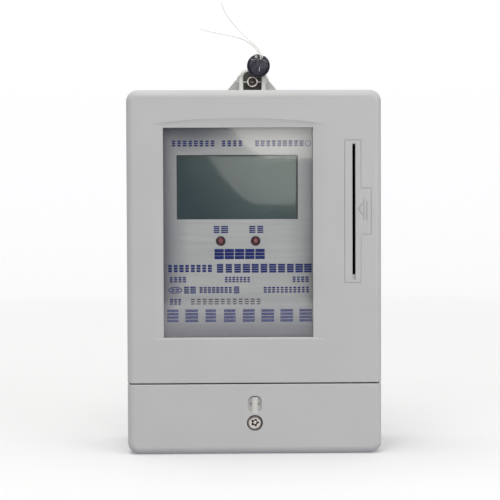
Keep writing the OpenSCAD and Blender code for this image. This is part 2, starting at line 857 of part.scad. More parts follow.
module line_out_bar() {
    color(copper) riser(main_xs[1], relay_z0);
}

module neutral_link() {
    color(copper) {
        riser(main_xs[2], 36);
        riser(main_xs[3], 36);
        block3(main_xs[2], main_xs[3], bar_y, bar_y + bar_t, 33.6, 38);
    }
}

module transformer_core() {
    color("#4a4d52")
    difference() {
        block3(4, 33, board_rear + 3, 15, 52, 80);
        block3(9, 14, board_rear + 2, 16, 57, 75);
        block3(23, 28, board_rear + 2, 16, 57, 75);
    }
}

module transformer_winding() {
    wrap = 4.6;
    color("#b04a2a")
    difference() {
        block3(14 - wrap, 23 + wrap, board_rear + gap, 17.6, 57.4, 74.6);
        block3(14 - gap, 23 + gap, board_rear + 3 - gap, 15 + gap, 57, 75);
    }
}

module capacitors() {
    color("#3b4a7a") {
        rod_y(-2, 92, 5, board_rear, 12);
        rod_y(12, 92, 4, board_rear, 8);
        rod_y(-2, 106, 3.2, board_rear, 4);
    }
}

module varistor() {
    color("#3f63a0") rod_x(1.5, 92, 6.5, -24, -20);
}

module backup_battery() {
    color("#c8c8c4") {
        rod_z(-38, 1, 7.2, 92, 116);
        rod_z(-38, 1, 2.5, 115.9, 117);
    }
    color("#c8c8c4")
    for (z = [94, 113]) block3(-42, -34, board_rear, -3, z, z + 1);
}

module chips_and_couplers() {
    // Packages as [x, z, width, height, thickness]
    packages = [
        [-8, 128, 14, 14, 1.6], [14, 128, 8, 10, 1.8], [22, 108, 6, 5, 1.8],
        [-24, 124, 6.4, 4.6, 3.4], [-24, 132, 6.4, 4.6, 3.4], [-24, 140, 6.4, 4.6, 3.4]
    ];
    color(near_black)
    for (p = packages)
        block3(p[0] - p[2] / 2, p[0] + p[2] / 2, board_rear, board_rear + p[4],
               p[1] - p[3] / 2, p[1] + p[3] / 2);
}

module crystal() {
    color(tin) block3(4, 8, board_rear, board_rear + 3.4, 119, 129);
}

module buzzer() {
    color(near_black)
    difference() {
        rod_y(24, 126, 6, board_rear, board_rear + 7);
        rod_y(24, 126, 1, board_rear + 5, board_rear + 8);
    }
}

module resistors() {
    color("#c9b58a")
    for (k = [0:5]) rod_z(-14 + 4 * k, board_rear + 1.5, 1.1, 141, 147.5);
}

// ---------- card reader ----------

module card_guide() {
    color(near_black)
    difference() {
        block3(guide_x0, guide_x1, inner_front + gap, guide_end, guide_z0, guide_z1);
        // Channel that the card runs in
        block3(slot_x - slot_w / 2, slot_x + slot_w / 2, inner_front - over, channel_end,
               slot_z + slot_sill, slot_z + slot_h - 0.8);
        // Window for the contacts
        block3(slot_x, guide_x1 + over, -13, 9, contact_z - 12, contact_z + 12);
        // Pocket for the card-detect lever, round the pin that it turns on
        difference() {
            block3(guide_x0 - over, slot_x, 8.5, channel_end, lever_z - 4, lever_z + 4);
            rod_z(lever_x, lever_y, lever_pin_r, lever_z - 5, lever_z + 5);
        }
    }
}

module card_board() {
    color(board_green)
    block3(guide_x1 + gap, guide_x1 + 1.7, -16, 12, contact_z - 16, contact_z + 16);
}

// Eight sprung fingers in a carrier, reaching through the guide towards the card
module card_contacts() {
    rows = [-7.5, -2.5, 2.5, 7.5];
    color(brass)
    for (y = [-9, 1], z = rows) {
        block3(slot_x + 3, slot_x + 3.3, y - 1, y + 6, contact_z + z - 0.7, contact_z + z + 0.7);
        block3(slot_x + 1.2, slot_x + 3.1, y + 5.7, y + 6, contact_z + z - 0.7, contact_z + z + 0.7);
        block3(slot_x + 3, guide_x1 + gap, y - 1, y - 0.7, contact_z + z - 0.7, contact_z + z + 0.7);
    }
}

// Card-detect lever: its arm stands across the channel until a card pushes it aside
module card_switch_lever() {
    hub = 1.6;
    arm = 7;
    color("#d9d9d6")
    difference() {
        union() {
            rod_z(lever_x, lever_y, hub, lever_z - 3, lever_z + 3);
            translate([lever_x, lever_y, lever_z]) rotate([0, 0, -24.5])
                block3(-0.5, 0.5, 0, arm, -1.5, 1.5);
        }
        rod_z(lever_x, lever_y, lever_pin_r + run_fit, lever_z - 4, lever_z + 4);
    }
}

// Flat cable from the contact board, under the guide, to the main board
module card_ribbon() {
    t = 0.5;
    half = 6;
    low = guide_z0 - 7;
    end_x = board_x1 - 0.6;
    color("#cfd2d6") {
        block3(guide_x1 + 1.7, guide_x1 + 1.7 + t, -half, half, low - t, contact_z - 12);
        block3(end_x, guide_x1 + 1.7 + t, -half, half, low - t, low);
        block3(end_x, end_x + t, board_rear, half, low - t, low + 3);
    }
}

base_shell();
front_cover();
cover_gasket();
window_lens();
terminal_cover();
terminal_cover_screw();
cover_seal_screw();
cover_screws();
seal_body();
seal_wire();
seal_wire_tail_a();
seal_wire_tail_b();
terminal_block();
line_in_terminal();
line_out_terminal();
neutral_in_terminal();
neutral_out_terminal();
terminal_screw(1);  // terminal_screw_1
terminal_screw(2);  // terminal_screw_2
terminal_screw(3);  // terminal_screw_3
terminal_screw(4);  // terminal_screw_4
terminal_screw(5);  // terminal_screw_5
terminal_screw(6);  // terminal_screw_6
terminal_screw(7);  // terminal_screw_7
terminal_screw(8);  // terminal_screw_8
aux_terminals();
aux_screw(-1);  // aux_screw_left
aux_screw(1);  // aux_screw_right
terminal_block_screws();
nameplate();
lcd_glass();
lcd_holder();
lcd_backlight();
lcd_pins();
led_alarm();
led_pulse();
main_board();
board_screws();
relay_housing();
relay_coil();
relay_armature();
current_shunt();
line_in_bar();
line_out_bar();
neutral_link();
transformer_core();
transformer_winding();
capacitors();
varistor();
backup_battery();
chips_and_couplers();
crystal();
buzzer();
resistors();
card_guide();
card_contacts();
card_board();
card_switch_lever();
card_ribbon();
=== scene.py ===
"""Looks of the prepaid electricity meter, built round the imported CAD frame. Lengths are in metres, or in
millimetres where MM turns them into metres or a comment says so."""

import json
import math
import random

import bmesh
import bpy
from mathutils import Matrix, Vector


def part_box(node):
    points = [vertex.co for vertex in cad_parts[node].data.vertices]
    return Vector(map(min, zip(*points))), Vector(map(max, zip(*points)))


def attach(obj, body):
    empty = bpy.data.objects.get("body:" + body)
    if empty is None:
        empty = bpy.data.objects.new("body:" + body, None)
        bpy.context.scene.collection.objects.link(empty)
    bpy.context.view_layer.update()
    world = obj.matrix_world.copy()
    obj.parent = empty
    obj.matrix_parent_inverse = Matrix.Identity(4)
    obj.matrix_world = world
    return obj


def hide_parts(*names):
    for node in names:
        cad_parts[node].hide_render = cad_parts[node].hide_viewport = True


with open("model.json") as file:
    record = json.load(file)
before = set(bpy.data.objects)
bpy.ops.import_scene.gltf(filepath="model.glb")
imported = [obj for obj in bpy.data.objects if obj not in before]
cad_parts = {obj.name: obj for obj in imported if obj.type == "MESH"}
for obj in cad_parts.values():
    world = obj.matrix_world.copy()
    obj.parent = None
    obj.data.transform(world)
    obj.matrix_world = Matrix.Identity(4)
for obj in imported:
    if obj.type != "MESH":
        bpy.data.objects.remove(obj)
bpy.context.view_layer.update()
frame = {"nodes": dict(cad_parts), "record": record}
NODES = frame["nodes"]
MM = 0.001
scene = bpy.context.scene
scene.view_settings.view_transform = "Standard"
scene.view_settings.look = "None"


# ---------- camera ----------

# The roll is in degrees
CAMERA_PLACE = (-0.016, -0.729, 0.113)
CAMERA_TARGET = (-0.0019, -0.029, 0.0898)
CAMERA_ROLL = -0.2


def aim(obj, place, target, roll=0.0):
    """Puts obj at place, looking at target, turned by roll degrees about its line of sight."""
    turn = (Vector(target) - Vector(place)).to_track_quat("-Z", "Y").to_matrix().to_4x4()
    obj.matrix_world = Matrix.Translation(Vector(place)) @ turn @ Matrix.Rotation(math.radians(roll), 4, "Z")


camera_data = bpy.data.cameras.new("camera")
camera_data.lens = 115.0
camera_data.sensor_width = 36
camera_data.clip_start = 0.01
camera = bpy.data.objects.new("camera", camera_data)
scene.collection.objects.link(camera)
aim(camera, CAMERA_PLACE, CAMERA_TARGET, CAMERA_ROLL)
scene.camera = camera


# ---------- node helpers ----------

def set_stops(node, stops):
    """Gives a colour ramp its (position, RGB) stops."""
    elements = node.color_ramp.elements
    while len(elements) < len(stops):
        elements.new(0.5)
    for element, (place, colour) in zip(elements, stops):
        element.position = place
        element.color = (*colour, 1)


class Shade:
    """A material under construction, with object coordinates ready to use."""

    def __init__(self, name):
        self.material = bpy.data.materials.new(name)
        self.material.use_nodes = True
        self.tree = self.material.node_tree
        self.bsdf = self.tree.nodes["Principled BSDF"]
        self.coord = self.tree.nodes.new("ShaderNodeTexCoord").outputs["Object"]

    def node(self, kind, links=(), **values):
        """Adds a node, sets its properties or inputs by name, and links its inputs."""
        node = self.tree.nodes.new(kind)
        for key, value in values.items():
            if key in node.inputs:
                node.inputs[key].default_value = value
            else:
                setattr(node, key, value)
        for key, source in dict(links).items():
            self.tree.links.new(source, node.inputs[key])
        return node

    def noise(self, scale, detail=2.0, rough=0.5, stretch=(1, 1, 1)):
        """Noise from 0 to 1. A small number in stretch draws it out along that axis."""
        mapping = self.node("ShaderNodeMapping", {"Vector": self.coord})
        mapping.inputs["Scale"].default_value = stretch
        node = self.node("ShaderNodeTexNoise", {"Vector": mapping.outputs[0]}, Scale=scale, Detail=detail)
        node.inputs["Roughness"].default_value = rough
        return node.outputs["Fac"]

    def ramp(self, source, *stops):
        """A colour ramp of (position, RGB) stops."""
        node = self.node("ShaderNodeValToRGB", {"Fac": source})
        set_stops(node, stops)
        return node.outputs["Color"]

    def steps(self, source, low, high, to_low=0.0, to_high=1.0):
        """Source from low..high mapped onto to_low..to_high, held at the ends."""
        node = self.node("ShaderNodeMapRange", {"Value": source})
        for key, value in (("From Min", low), ("From Max", high), ("To Min", to_low), ("To Max", to_high)):
            node.inputs[key].default_value = value
        return node.outputs["Result"]

    def axis(self, letter):
        """The place along X, Y or Z, in metres."""
        return self.node("ShaderNodeSeparateXYZ", {"Vector": self.coord}).outputs[letter]

    def math(self, operation, a, b):
        """A sum of two values, each a socket or a number."""
        node = self.node("ShaderNodeMath", operation=operation)
        for socket, value in zip(node.inputs, (a, b)):
            if isinstance(value, (int, float)):
                socket.default_value = value
            else:
                self.tree.links.new(value, socket)
        return node.outputs[0]

    def mix(self, factor, a, b, blend="MIX"):
        """Mixes two colours, each a socket or an RGB triple, by a socket or a number."""
        node = self.node("ShaderNodeMix", data_type="RGBA", blend_type=blend)
        sockets = [s for s in node.inputs if s.enabled]
        for socket, value in zip(sockets, (factor, a, b)):
            if isinstance(value, (int, float)):
                socket.default_value = value
            elif isinstance(value, tuple):
                socket.default_value = value + (1,)
            else:
                self.tree.links.new(value, socket)
        return [s for s in node.outputs if s.enabled][0]

    def specks(self, scale, size, share):
        """Small round specks: 1 on a speck, 0 elsewhere. share is the part of the cells that has one."""
        cells = self.node("ShaderNodeTexVoronoi", {"Vector": self.coord}, Scale=scale)
        near = self.steps(cells.outputs["Distance"], size * 0.5, size, 1, 0)
        tint = self.node("ShaderNodeSeparateColor", {"Color": cells.outputs["Color"]}).outputs[0]
        chosen = self.math("LESS_THAN", tint, share)
        return self.math("MULTIPLY", near, chosen)

    def bump(self, height, distance, strength=1.0):
        """Relief of the given depth in metres."""
        node = self.node("ShaderNodeBump", {"Height": height}, Distance=distance, Strength=strength)
        self.tree.links.new(node.outputs["Normal"], self.bsdf.inputs["Normal"])

    def set(self, **values):
        """Sets the shader's own sockets; an underscore in a name stands for a space."""
        for key, value in values.items():
            socket = self.bsdf.inputs[key.replace("_", " ")]
            if isinstance(value, bpy.types.NodeSocket):
                self.tree.links.new(value, socket)
            elif isinstance(value, tuple) and len(value) == 3:
                socket.default_value = value + (1,)
            else:
                socket.default_value = value
        return self.material


def scaled(colour, factor):
    """A colour made lighter or darker."""
    return tuple(min(1.0, c * factor) for c in colour)


def moulded(name, colour, rough, grain, variation, speck=0.0, fine=2600):
    """Moulded plastic: slight colour drift, a fine eroded grain, and a few specks of dust. grain is the depth
    of the eroded surface, variation and speck are shares, and fine is the grain's scale."""
    s = Shade(name)
    base = s.ramp(s.noise(38, 4), (0.3, scaled(colour, 1 - variation)), (0.7, scaled(colour, 1 + variation)))
    if speck:
        base = s.mix(s.math("MULTIPLY", s.specks(150, 0.030, speck), 0.75), base, scaled(colour, 0.35))
        scuff = s.steps(s.noise(60, 6, 0.7, (1.0, 1.0, 7.0)), 0.66, 0.74, 0.0, 0.22)
        base = s.mix(scuff, base, scaled(colour, 1.18))
    s.bump(s.noise(fine, 3, 0.6), grain)
    return s.set(Base_Color=base, Roughness=s.steps(s.noise(90, 3), 0.3, 0.7, rough - 0.05, rough + 0.07))


def metal(name, colour, rough, stretch=(1, 1, 1), wear=0.12, scale=900, bump=0.000012):
    """Machined, rolled or plated metal: fine marks along one way, and tarnish in patches."""
    s = Shade(name)
    marks = s.noise(scale, 5, 0.7, stretch)
    patches = s.noise(160, 4)
    base = s.ramp(patches, (0.32, scaled(colour, 1 - wear)), (0.62, colour), (0.8, scaled(colour, 1 + wear)))
    base = s.mix(s.steps(marks, 0.35, 0.65, 0.0, 0.25), base, scaled(colour, 0.7))
    s.bump(marks, bump)
    dull = s.steps(marks, 0.3, 0.7, rough - 0.08, rough + 0.12)
    return s.set(Base_Color=base, Metallic=1.0, Roughness=dull)


def banded(name, scale, direction, low, high, relief, distortion=0.0, **finish):
    """Many turns, sheets or ribs side by side: bands across the piece, in colour and in relief."""
    s = Shade(name)
    bands = s.node("ShaderNodeTexWave", {"Vector": s.coord}, Scale=scale, Distortion=distortion,
                   bands_direction=direction).outputs["Fac"]
    base = s.ramp(bands, low, high)
    s.bump(bands, relief)
    return s.set(Base_Color=base, **finish)


# ---------- materials ----------

SHELL = (0.462, 0.462, 0.456)
LOOKS = {
    "shell": moulded("shell", SHELL, 0.44, 0.000016, 0.022, speck=0.12),
    "gasket": moulded("gasket", (0.02, 0.02, 0.021), 0.75, 0.00002, 0.2),
    "black_plastic": moulded("black_plastic", (0.022, 0.022, 0.024), 0.42, 0.00002, 0.15),
    "dark_plastic": moulded("dark_plastic", (0.045, 0.047, 0.05), 0.5, 0.00002, 0.12),
    "white_plastic": moulded("white_plastic", (0.72, 0.73, 0.72), 0.4, 0.00001, 0.03),
    "brass": metal("brass", (0.72, 0.53, 0.25), 0.32, (1, 1, 0.12)),
    "copper": metal("copper", (0.68, 0.33, 0.19), 0.34, (0.15, 1, 1)),
    "alloy": metal("alloy", (0.36, 0.31, 0.26), 0.42, (1, 1, 0.2)),
    "tin": metal("tin", (0.62, 0.62, 0.61), 0.3, (1, 1, 1), 0.08),
    "steel": metal("steel", (0.66, 0.62, 0.59), 0.17, (1, 1, 1), 0.25, 1500, 0.000004),
    "cap_sleeve": moulded("cap_sleeve", (0.05, 0.075, 0.2), 0.3, 0.00001, 0.1),
    "varistor_blue": moulded("varistor_blue", (0.045, 0.11, 0.34), 0.25, 0.00003, 0.12, fine=700),
    "resistor_tan": moulded("resistor_tan", (0.55, 0.42, 0.24), 0.35, 0.00001, 0.08),
}


def lens_material():
    """Clear moulded polycarbonate, very slightly uneven."""
    s = Shade("lens")
    s.bump(s.noise(14, 1), 0.00002, 0.4)
    return s.set(Base_Color=(0.97, 0.985, 0.985), Roughness=0.03, IOR=1.5, Transmission_Weight=1.0)


def seal_material():
    """Dark navy plastic with the swirl of its moulding."""
    s = Shade("seal")
    swirl = s.noise(420, 5, 0.65)
    base = s.ramp(swirl, (0.3, (0.006, 0.006, 0.016)), (0.6, (0.011, 0.010, 0.026)),
                  (0.85, (0.03, 0.028, 0.045)))
    s.bump(s.noise(1300, 4), 0.000004)
    return s.set(Base_Color=base, Roughness=s.steps(swirl, 0.3, 0.7, 0.2, 0.34), Specular_IOR_Level=0.4,
                 Coat_Weight=0.3, Coat_Roughness=0.06)


def plate_material():
    """Satin silver sheet with brushed grain, and painted shade and reflection: cooler and darker towards its
    left, right and lower edges and its upper left corner.
    """
    s = Shade("plate")
    x, z = s.axis("X"), s.axis("Z")
    left = s.steps(x, -0.041, -0.029, 1.0, 0.0)
    right = s.steps(x, 0.014, 0.027, 0.0, 0.45)
    low = s.steps(z, 0.054, 0.072, 1.0, 0.0)
    high = s.math("MULTIPLY", s.steps(z, 0.126, 0.141, 0.0, 0.85), s.steps(x, -0.026, -0.002, 1.0, 0.0))
    # Painted shade and reflection: the plate darkens and cools at these edges and at the upper left corner
    edge = s.math("MAXIMUM", s.math("MAXIMUM", left, right), s.math("MAXIMUM", low, high))
    brushed = s.noise(500, 4, 0.6, (0.06, 1, 1))
    base = s.ramp(brushed, (0.3, (0.345, 0.345, 0.342)), (0.7, (0.395, 0.395, 0.39)))
    base = s.mix(s.math("MULTIPLY", edge, 0.86), base, (0.10, 0.097, 0.125))
    s.bump(brushed, 0.000008)
    return s.set(Base_Color=base, Metallic=0.4, Roughness=s.steps(brushed, 0.3, 0.7, 0.34, 0.46))


def lcd_material():
    """Blank reflective display: slate green, lighter towards its upper right as painted reflection, with a
    faint dark bloom and fine dust.
    """
    s = Shade("lcd")
    # Painted reflection: the green lightens along this slope, towards the upper right
    slope = s.math("ADD", s.axis("X"), s.math("MULTIPLY", s.axis("Z"), 0.8))
    tone_and_reflection = s.ramp(s.steps(slope, 0.060, 0.115), (0.0, (0.018, 0.036, 0.037)), (0.55, (0.028, 0.050, 0.048)),
                  (1.0, (0.045, 0.072, 0.062)))
    bloom = s.noise(55, 3)
    base = s.mix(s.steps(bloom, 0.4, 0.7, 0.0, 0.35), tone_and_reflection, (0.035, 0.045, 0.045))
    base = s.mix(s.math("MULTIPLY", s.specks(260, 0.05, 0.2), 0.25), base, (0.3, 0.33, 0.3))
    return s.set(Base_Color=base, Roughness=0.12, Specular_IOR_Level=0.5, Coat_Weight=1.0,
                 Coat_Roughness=0.02)


def led_material():
    """Red diffused epoxy, with painted shade that darkens it towards its rim, where it turns away from the
    eye.
    """
    s = Shade("led_red")
    # Painted shade: darker where the surface turns away from the eye
    rim = s.node("ShaderNodeLayerWeight", Blend=0.35).outputs["Facing"]
    base = s.mix(rim, (0.145, 0.008, 0.012), (0.018, 0.003, 0.005))
    s.bump(s.noise(1500, 2), 0.00001)
    return s.set(Base_Color=base, Roughness=0.22, Subsurface_Weight=0.2, Coat_Weight=0.6, Coat_Roughness=0.08)


def board_material():
    """Green solder mask over copper tracks, with the tracks and pads in low relief."""
    s = Shade("board")
    tracks = s.node("ShaderNodeTexBrick", {"Vector": s.coord}, Scale=260, offset=0.37)
    tracks.inputs["Mortar Size"].default_value = 0.12
    fac = tracks.outputs["Fac"]
    base = s.mix(fac, (0.012, 0.085, 0.040), (0.030, 0.150, 0.070))
    pads = s.specks(420, 0.22, 0.3)
    base = s.mix(pads, base, (0.42, 0.42, 0.40))
    s.bump(s.math("ADD", fac, pads), 0.00004)
    return s.set(Base_Color=base, Roughness=0.28, Coat_Weight=0.5, Coat_Roughness=0.12)


def well_shade_material():
    """The shell's plastic in the deep sealing well, darkened as painted shade: darkest at the foot, and
    uneven in patches.
    """
    s = Shade("shell_well_shade")
    height = s.steps(s.axis("Z"), 0.1600, 0.1690)
    base = s.ramp(height, (0.1, (0.006, 0.004, 0.003)), (0.45, (0.055, 0.05, 0.04)),
                  (1.0, (0.36, 0.35, 0.30)))
    base = s.mix(s.steps(s.noise(500, 4), 0.35, 0.7, 0.0, 0.5), base, (0.03, 0.03, 0.026))
    s.bump(s.noise(900, 3), 0.00004)
    return s.set(Base_Color=base, Roughness=0.4)


def recess_shade_material():
    """Steel at the foot of a screw's recess, painted dark brown as shade, with lighter flecks."""
    s = Shade("steel_recess_shade")
    mottle = s.noise(1400, 4, 0.7)
    base = s.ramp(mottle, (0.35, (0.025, 0.016, 0.013)), (0.6, (0.10, 0.075, 0.065)), (0.75, (0.5, 0.45, 0.42)))
    return s.set(Base_Color=base, Metallic=0.7, Roughness=s.steps(mottle, 0.3, 0.7, 0.5, 0.25))


def print_material(name, colour):
    """Screen-printed ink, slightly broken up."""
    s = Shade(name)
    ink = s.noise(3200, 3, 0.7)
    base = s.ramp(ink, (0.25, scaled(colour, 1.6)), (0.45, colour))
    s.bump(ink, 0.000006)
    return s.set(Base_Color=base, Roughness=0.4, Specular_IOR_Level=0.15)


LOOKS.update({
    "lens": lens_material(),
    "seal": seal_material(),
    "plate": plate_material(),
    "lcd": lcd_material(),
    "led_red": led_material(),
    "board": board_material(),
    "wire": banded("wire", 320, "DIAGONAL", (0.15, (0.84, 0.85, 0.74)), (0.6, (0.95, 0.95, 0.91)),
                   0.00005, 2.0, Roughness=0.55, Coat_Weight=0.2, Coat_Roughness=0.2),
    "core_steel": banded("core_steel", 330, "Y", (0.1, (0.05, 0.05, 0.055)), (0.8, (0.17, 0.17, 0.18)),
                         0.00008, 0.6, Metallic=0.6, Roughness=0.42),
    "winding": banded("winding", 260, "Z", (0.1, (0.33, 0.075, 0.028)), (0.9, (0.52, 0.16, 0.07)),
                      0.00007, 0.8, Roughness=0.32),
    "ribbon": banded("ribbon", 260, "Y", (0.2, (0.42, 0.44, 0.46)), (0.8, (0.62, 0.64, 0.66)),
                     0.0001, Roughness=0.5),
})

# Looks of single areas and pieces, beside the slots' own
# Painted shade on the floor of the sealing tab's well
WELL_SHADE = well_shade_material()
# Painted shade at the foot of the screws' recesses
RECESS_SHADE = recess_shade_material()
# Painted highlight on the sealing tab's cheeks
TAB_HIGHLIGHT = moulded("shell_tab_highlight", (0.62, 0.62, 0.60), 0.34, 0.000012, 0.04)
# Painted shade at the foot of the card symbol's grooves
GROOVE_SHADE = moulded("shell_groove_shade", (0.375, 0.375, 0.37), 0.5, 0.000012, 0.04)
GUIDE = moulded("guide_plastic", (0.12, 0.12, 0.115), 0.5, 0.00002, 0.1)
# Painted highlight on the seal eye's rib
RIB_HIGHLIGHT = moulded("shell_rib_highlight", (0.56, 0.545, 0.51), 0.36, 0.000008, 0.02)
# Painted highlights on the seal's face
SEAL_HIGHLIGHT = moulded("seal_painted_highlight", (0.46, 0.46, 0.50), 0.3, 0.000008, 0.35, fine=1600)
INK_BLUE = print_material("ink_blue", (0.001, 0.010, 0.12))
# Dark ink of the number line, and the painted shadow round the lights
DARK_INK_AND_SHADOW = print_material("dark_ink_and_shadow", (0.045, 0.040, 0.048))
# Painted shadow round the edge of the display's glass
SHADOW_RIM = moulded("lcd_shadow_rim", (0.012, 0.014, 0.017), 0.35, 0.00001, 0.2)


# ---------- cords ----------

# The seal's wire: two tails that stand up from its mouth, and the loop through the sealing screw, in mm
TAIL_A = [
    (4.6, -3.9, 175.0), (4.5, -3.9, 176.4), (4.0, -3.9, 177.7), (3.3, -3.9, 179.0),
    (2.4, -3.9, 180.3), (1.3, -3.9, 181.6), (0.0, -4.0, 182.8), (-1.4, -4.1, 184.0),
    (-2.8, -4.2, 185.3), (-4.3, -4.4, 186.7), (-5.7, -4.6, 188.1), (-7.1, -4.8, 189.6),
    (-8.4, -5.1, 191.1), (-9.7, -5.4, 192.7), (-10.9, -5.7, 194.3), (-11.9, -6.0, 195.9),
    (-12.7, -6.3, 197.3), (-13.2, -6.6, 198.7), (-13.6, -6.8, 200.0), (-13.9, -7.0, 201.3),
]
TAIL_B = [
    (3.8, -3.4, 175.0), (3.7, -3.4, 176.4), (3.2, -3.4, 177.6), (2.5, -3.4, 178.8),
    (1.6, -3.3, 180.0), (0.5, -3.2, 181.2), (-0.8, -3.1, 182.3), (-2.2, -3.0, 183.3),
    (-3.7, -2.8, 184.2), (-5.3, -2.6, 184.9), (-7.0, -2.4, 185.5), (-8.9, -2.2, 186.0),
    (-10.8, -2.0, 186.4), (-12.7, -1.8, 186.8), (-14.6, -1.6, 187.2), (-16.5, -1.4, 187.6),
    (-18.4, -1.2, 188.0), (-20.2, -1.0, 188.5), (-22.0, -0.8, 189.0), (-23.6, -0.6, 189.6),
]
LOOP = [
    (-1.4, -3.8, 170.2), (-2.8, -3.6, 170.0), (-4.1, -3.2, 169.6), (-5.3, -2.6, 168.9),
    (-6.3, -2.0, 167.9), (-6.85, -1.2, 166.9), (-7.05, -0.4, 166.1), (-7.05, 0.3, 165.6),
    (-6.8, 0.8, 165.4), (-6.3, 0.9, 165.4), (6.3, 0.9, 165.4), (6.8, 0.8, 165.4),
    (7.1, 0.3, 165.7), (7.15, -0.5, 166.3), (6.95, -1.4, 167.0), (6.5, -2.3, 167.7),
    (5.9, -3.1, 168.4), (5.3, -3.7, 169.1),
]
WIRE = 0.6 * MM


def add(name, data, slot, body="housing", replaces=()):
    """A piece in its slot's look, riding its body, in place of the CAD nodes that it replaces."""
    obj = bpy.data.objects.new(name, data)
    scene.collection.objects.link(obj)
    obj.data.materials.append(LOOKS[slot])
    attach(obj, body)
    if replaces:
        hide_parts(*replaces)
    return obj


def wire_curve(name, route, node):
    """A length of the seal's wire through the places of its route."""
    data = bpy.data.curves.new(name, "CURVE")
    data.dimensions = "3D"
    data.bevel_depth = WIRE / 2
    data.bevel_resolution = 4
    data.resolution_u = 6
    data.use_fill_caps = True
    spline = data.splines.new("BEZIER")
    spline.bezier_points.add(len(route) - 1)
    for point, place in zip(spline.bezier_points, route):
        point.co = Vector(place) * MM
        point.handle_left_type = point.handle_right_type = "AUTO"
    return add(name, data, "wire", "seal", (node,))


for tag, route in (("a", TAIL_A), ("b", TAIL_B)):
    tail = wire_curve(f"wire_tail_{tag}", route, f"seal_wire_tail_{tag}")
wire_curve("wire_loop", LOOP, "seal_wire")


# ---------- mesh helpers ----------

# Vertices closer than WELD are made one, edges over SHARP are rounded, and faces within FLAT are one plane
WELD = 2e-6
SHARP = math.radians(32)
FLAT = math.radians(0.4)


def mesh_of(bm, name, angle=30):
    """The finished mesh, shaded smooth except at edges of more than angle degrees."""
    limit = math.radians(angle)
    for face in bm.faces:
        face.smooth = True
    for edge in bm.edges:
        edge.smooth = not (edge.is_manifold and edge.calc_face_angle(0) > limit)
    data = bpy.data.meshes.new(name)
    bm.to_mesh(data)
    bm.free()
    return data


def flat_normals(obj):
    """Keeps large faces flat-looking and leaves the turn of the light to the small bevels."""
    modifier = obj.modifiers.new("weighted_normal", "WEIGHTED_NORMAL")
    modifier.mode = "FACE_AREA"
    modifier.weight = 80
    modifier.keep_sharp = True


def outward(bm):
    """Turns every face outwards."""
    bmesh.ops.recalc_face_normals(bm, faces=bm.faces)


def skin(bm, rings, shaded_rows=()):
    """Faces from each ring to the next, where a ring may be one vertex. Rows in the last argument get the
    painted shade.
    """
    for k, (a, b) in enumerate(zip(rings, rings[1:])):
        for i in range(max(len(a), len(b))):
            j = i + 1
            around = (a[i % len(a)], a[j % len(a)], b[j % len(b)], b[i % len(b)])
            face = bm.faces.new(list(dict.fromkeys(around)))
            face.material_index = int(k in shaded_rows)


def eased(node, name, slot, body="housing", *, default, edges=(), paint=None, keep=None, crease=None):
    """The CAD node's own shape with its sharp edges rounded over. edges are (radius, test) pairs, default is
    the radius of the other edges, and keep picks those that stay sharp. paint gives the number of a face's
    look, and the light breaks at edges whose two ends pass crease."""
    shortest = 0.4 * MM
    bm = bmesh.new()
    bm.from_mesh(NODES[node].data)
    bmesh.ops.remove_doubles(bm, verts=bm.verts, dist=WELD)
    bmesh.ops.dissolve_limit(bm, angle_limit=FLAT, verts=bm.verts, edges=bm.edges)
    done = set()

    def round_over(test, radius, segments, **kinds):
        """Bevels the sharp edges that pass the test and weren't chosen before."""
        chosen = []
        for edge in bm.edges:
            if edge.is_manifold and edge.calc_face_angle(0) > SHARP:
                key = tuple(sorted(tuple(round(c, 6) for c in v.co) for v in edge.verts))
                if key not in done and test(edge):
                    done.add(key)
                    chosen.append(edge)
        if chosen:
            bmesh.ops.bevel(bm, geom=chosen, offset=radius * MM, offset_type="OFFSET", segments=segments,
                            profile=0.5, affect="EDGES", clamp_overlap=True, **kinds)

    for radius, test in edges:
        round_over(test, radius, 3, miter_outer="ARC")
    round_over(lambda e: e.calc_length() > shortest and not (keep and keep(e)), default, 2)
    if paint:
        bm.normal_update()
        for face in bm.faces:
            face.material_index = int(paint(face))
    data = mesh_of(bm, name, 34)
    if crease:
        for edge in data.edges:
            if all(crease(data.vertices[v].co / MM) for v in edge.vertices):
                edge.use_edge_sharp = True
    obj = add(name, data, slot, body, (node,))
    flat_normals(obj)
    return obj


def middle(edge):
    """The place of an edge's middle in mm."""
    return (edge.verts[0].co + edge.verts[1].co) / (2 * MM)


def lathe(bm, centre, rows, segments, radius_of=None, shaded_rows=()):
    """A surface round an axis along Y. rows are (radius, y) in mm from the back's middle to the front's,
    radius_of(row number, angle, radius) may reshape a ring, and rows in the last argument get the painted
    shade."""
    x, z = centre
    rings = []
    for k, (radius, y) in enumerate(rows):
        ring = []
        for i in range(segments if radius else 1):
            a = 2 * math.pi * i / segments
            r = radius_of(k, a, radius) if radius and radius_of else radius
            ring.append(bm.verts.new(((x + r * math.cos(a)) * MM, y * MM, (z + r * math.sin(a)) * MM)))
        rings.append(ring)
    skin(bm, rings, shaded_rows)


def cross_radius(angle, arm, half):
    """Outline of a cross recess, as a radius at an angle."""
    a = (angle + math.pi / 4) % (math.pi / 2) - math.pi / 4
    return min(arm / math.cos(a), half / max(abs(math.sin(a)), 1e-6))


def star_radius(angle, arm, inner):
    """Outline of a five-lobed recess."""
    return inner + (arm - inner) * (0.5 + 0.5 * math.cos(5 * angle)) ** 0.8


def thread(rows, radius, start, end, pitch):
    """Adds a thread's rows, six to a turn, and returns their numbers."""
    first = len(rows)
    y = start
    while y > end:
        rows.append((radius, y))
        y -= pitch / 6
    return range(first, len(rows))


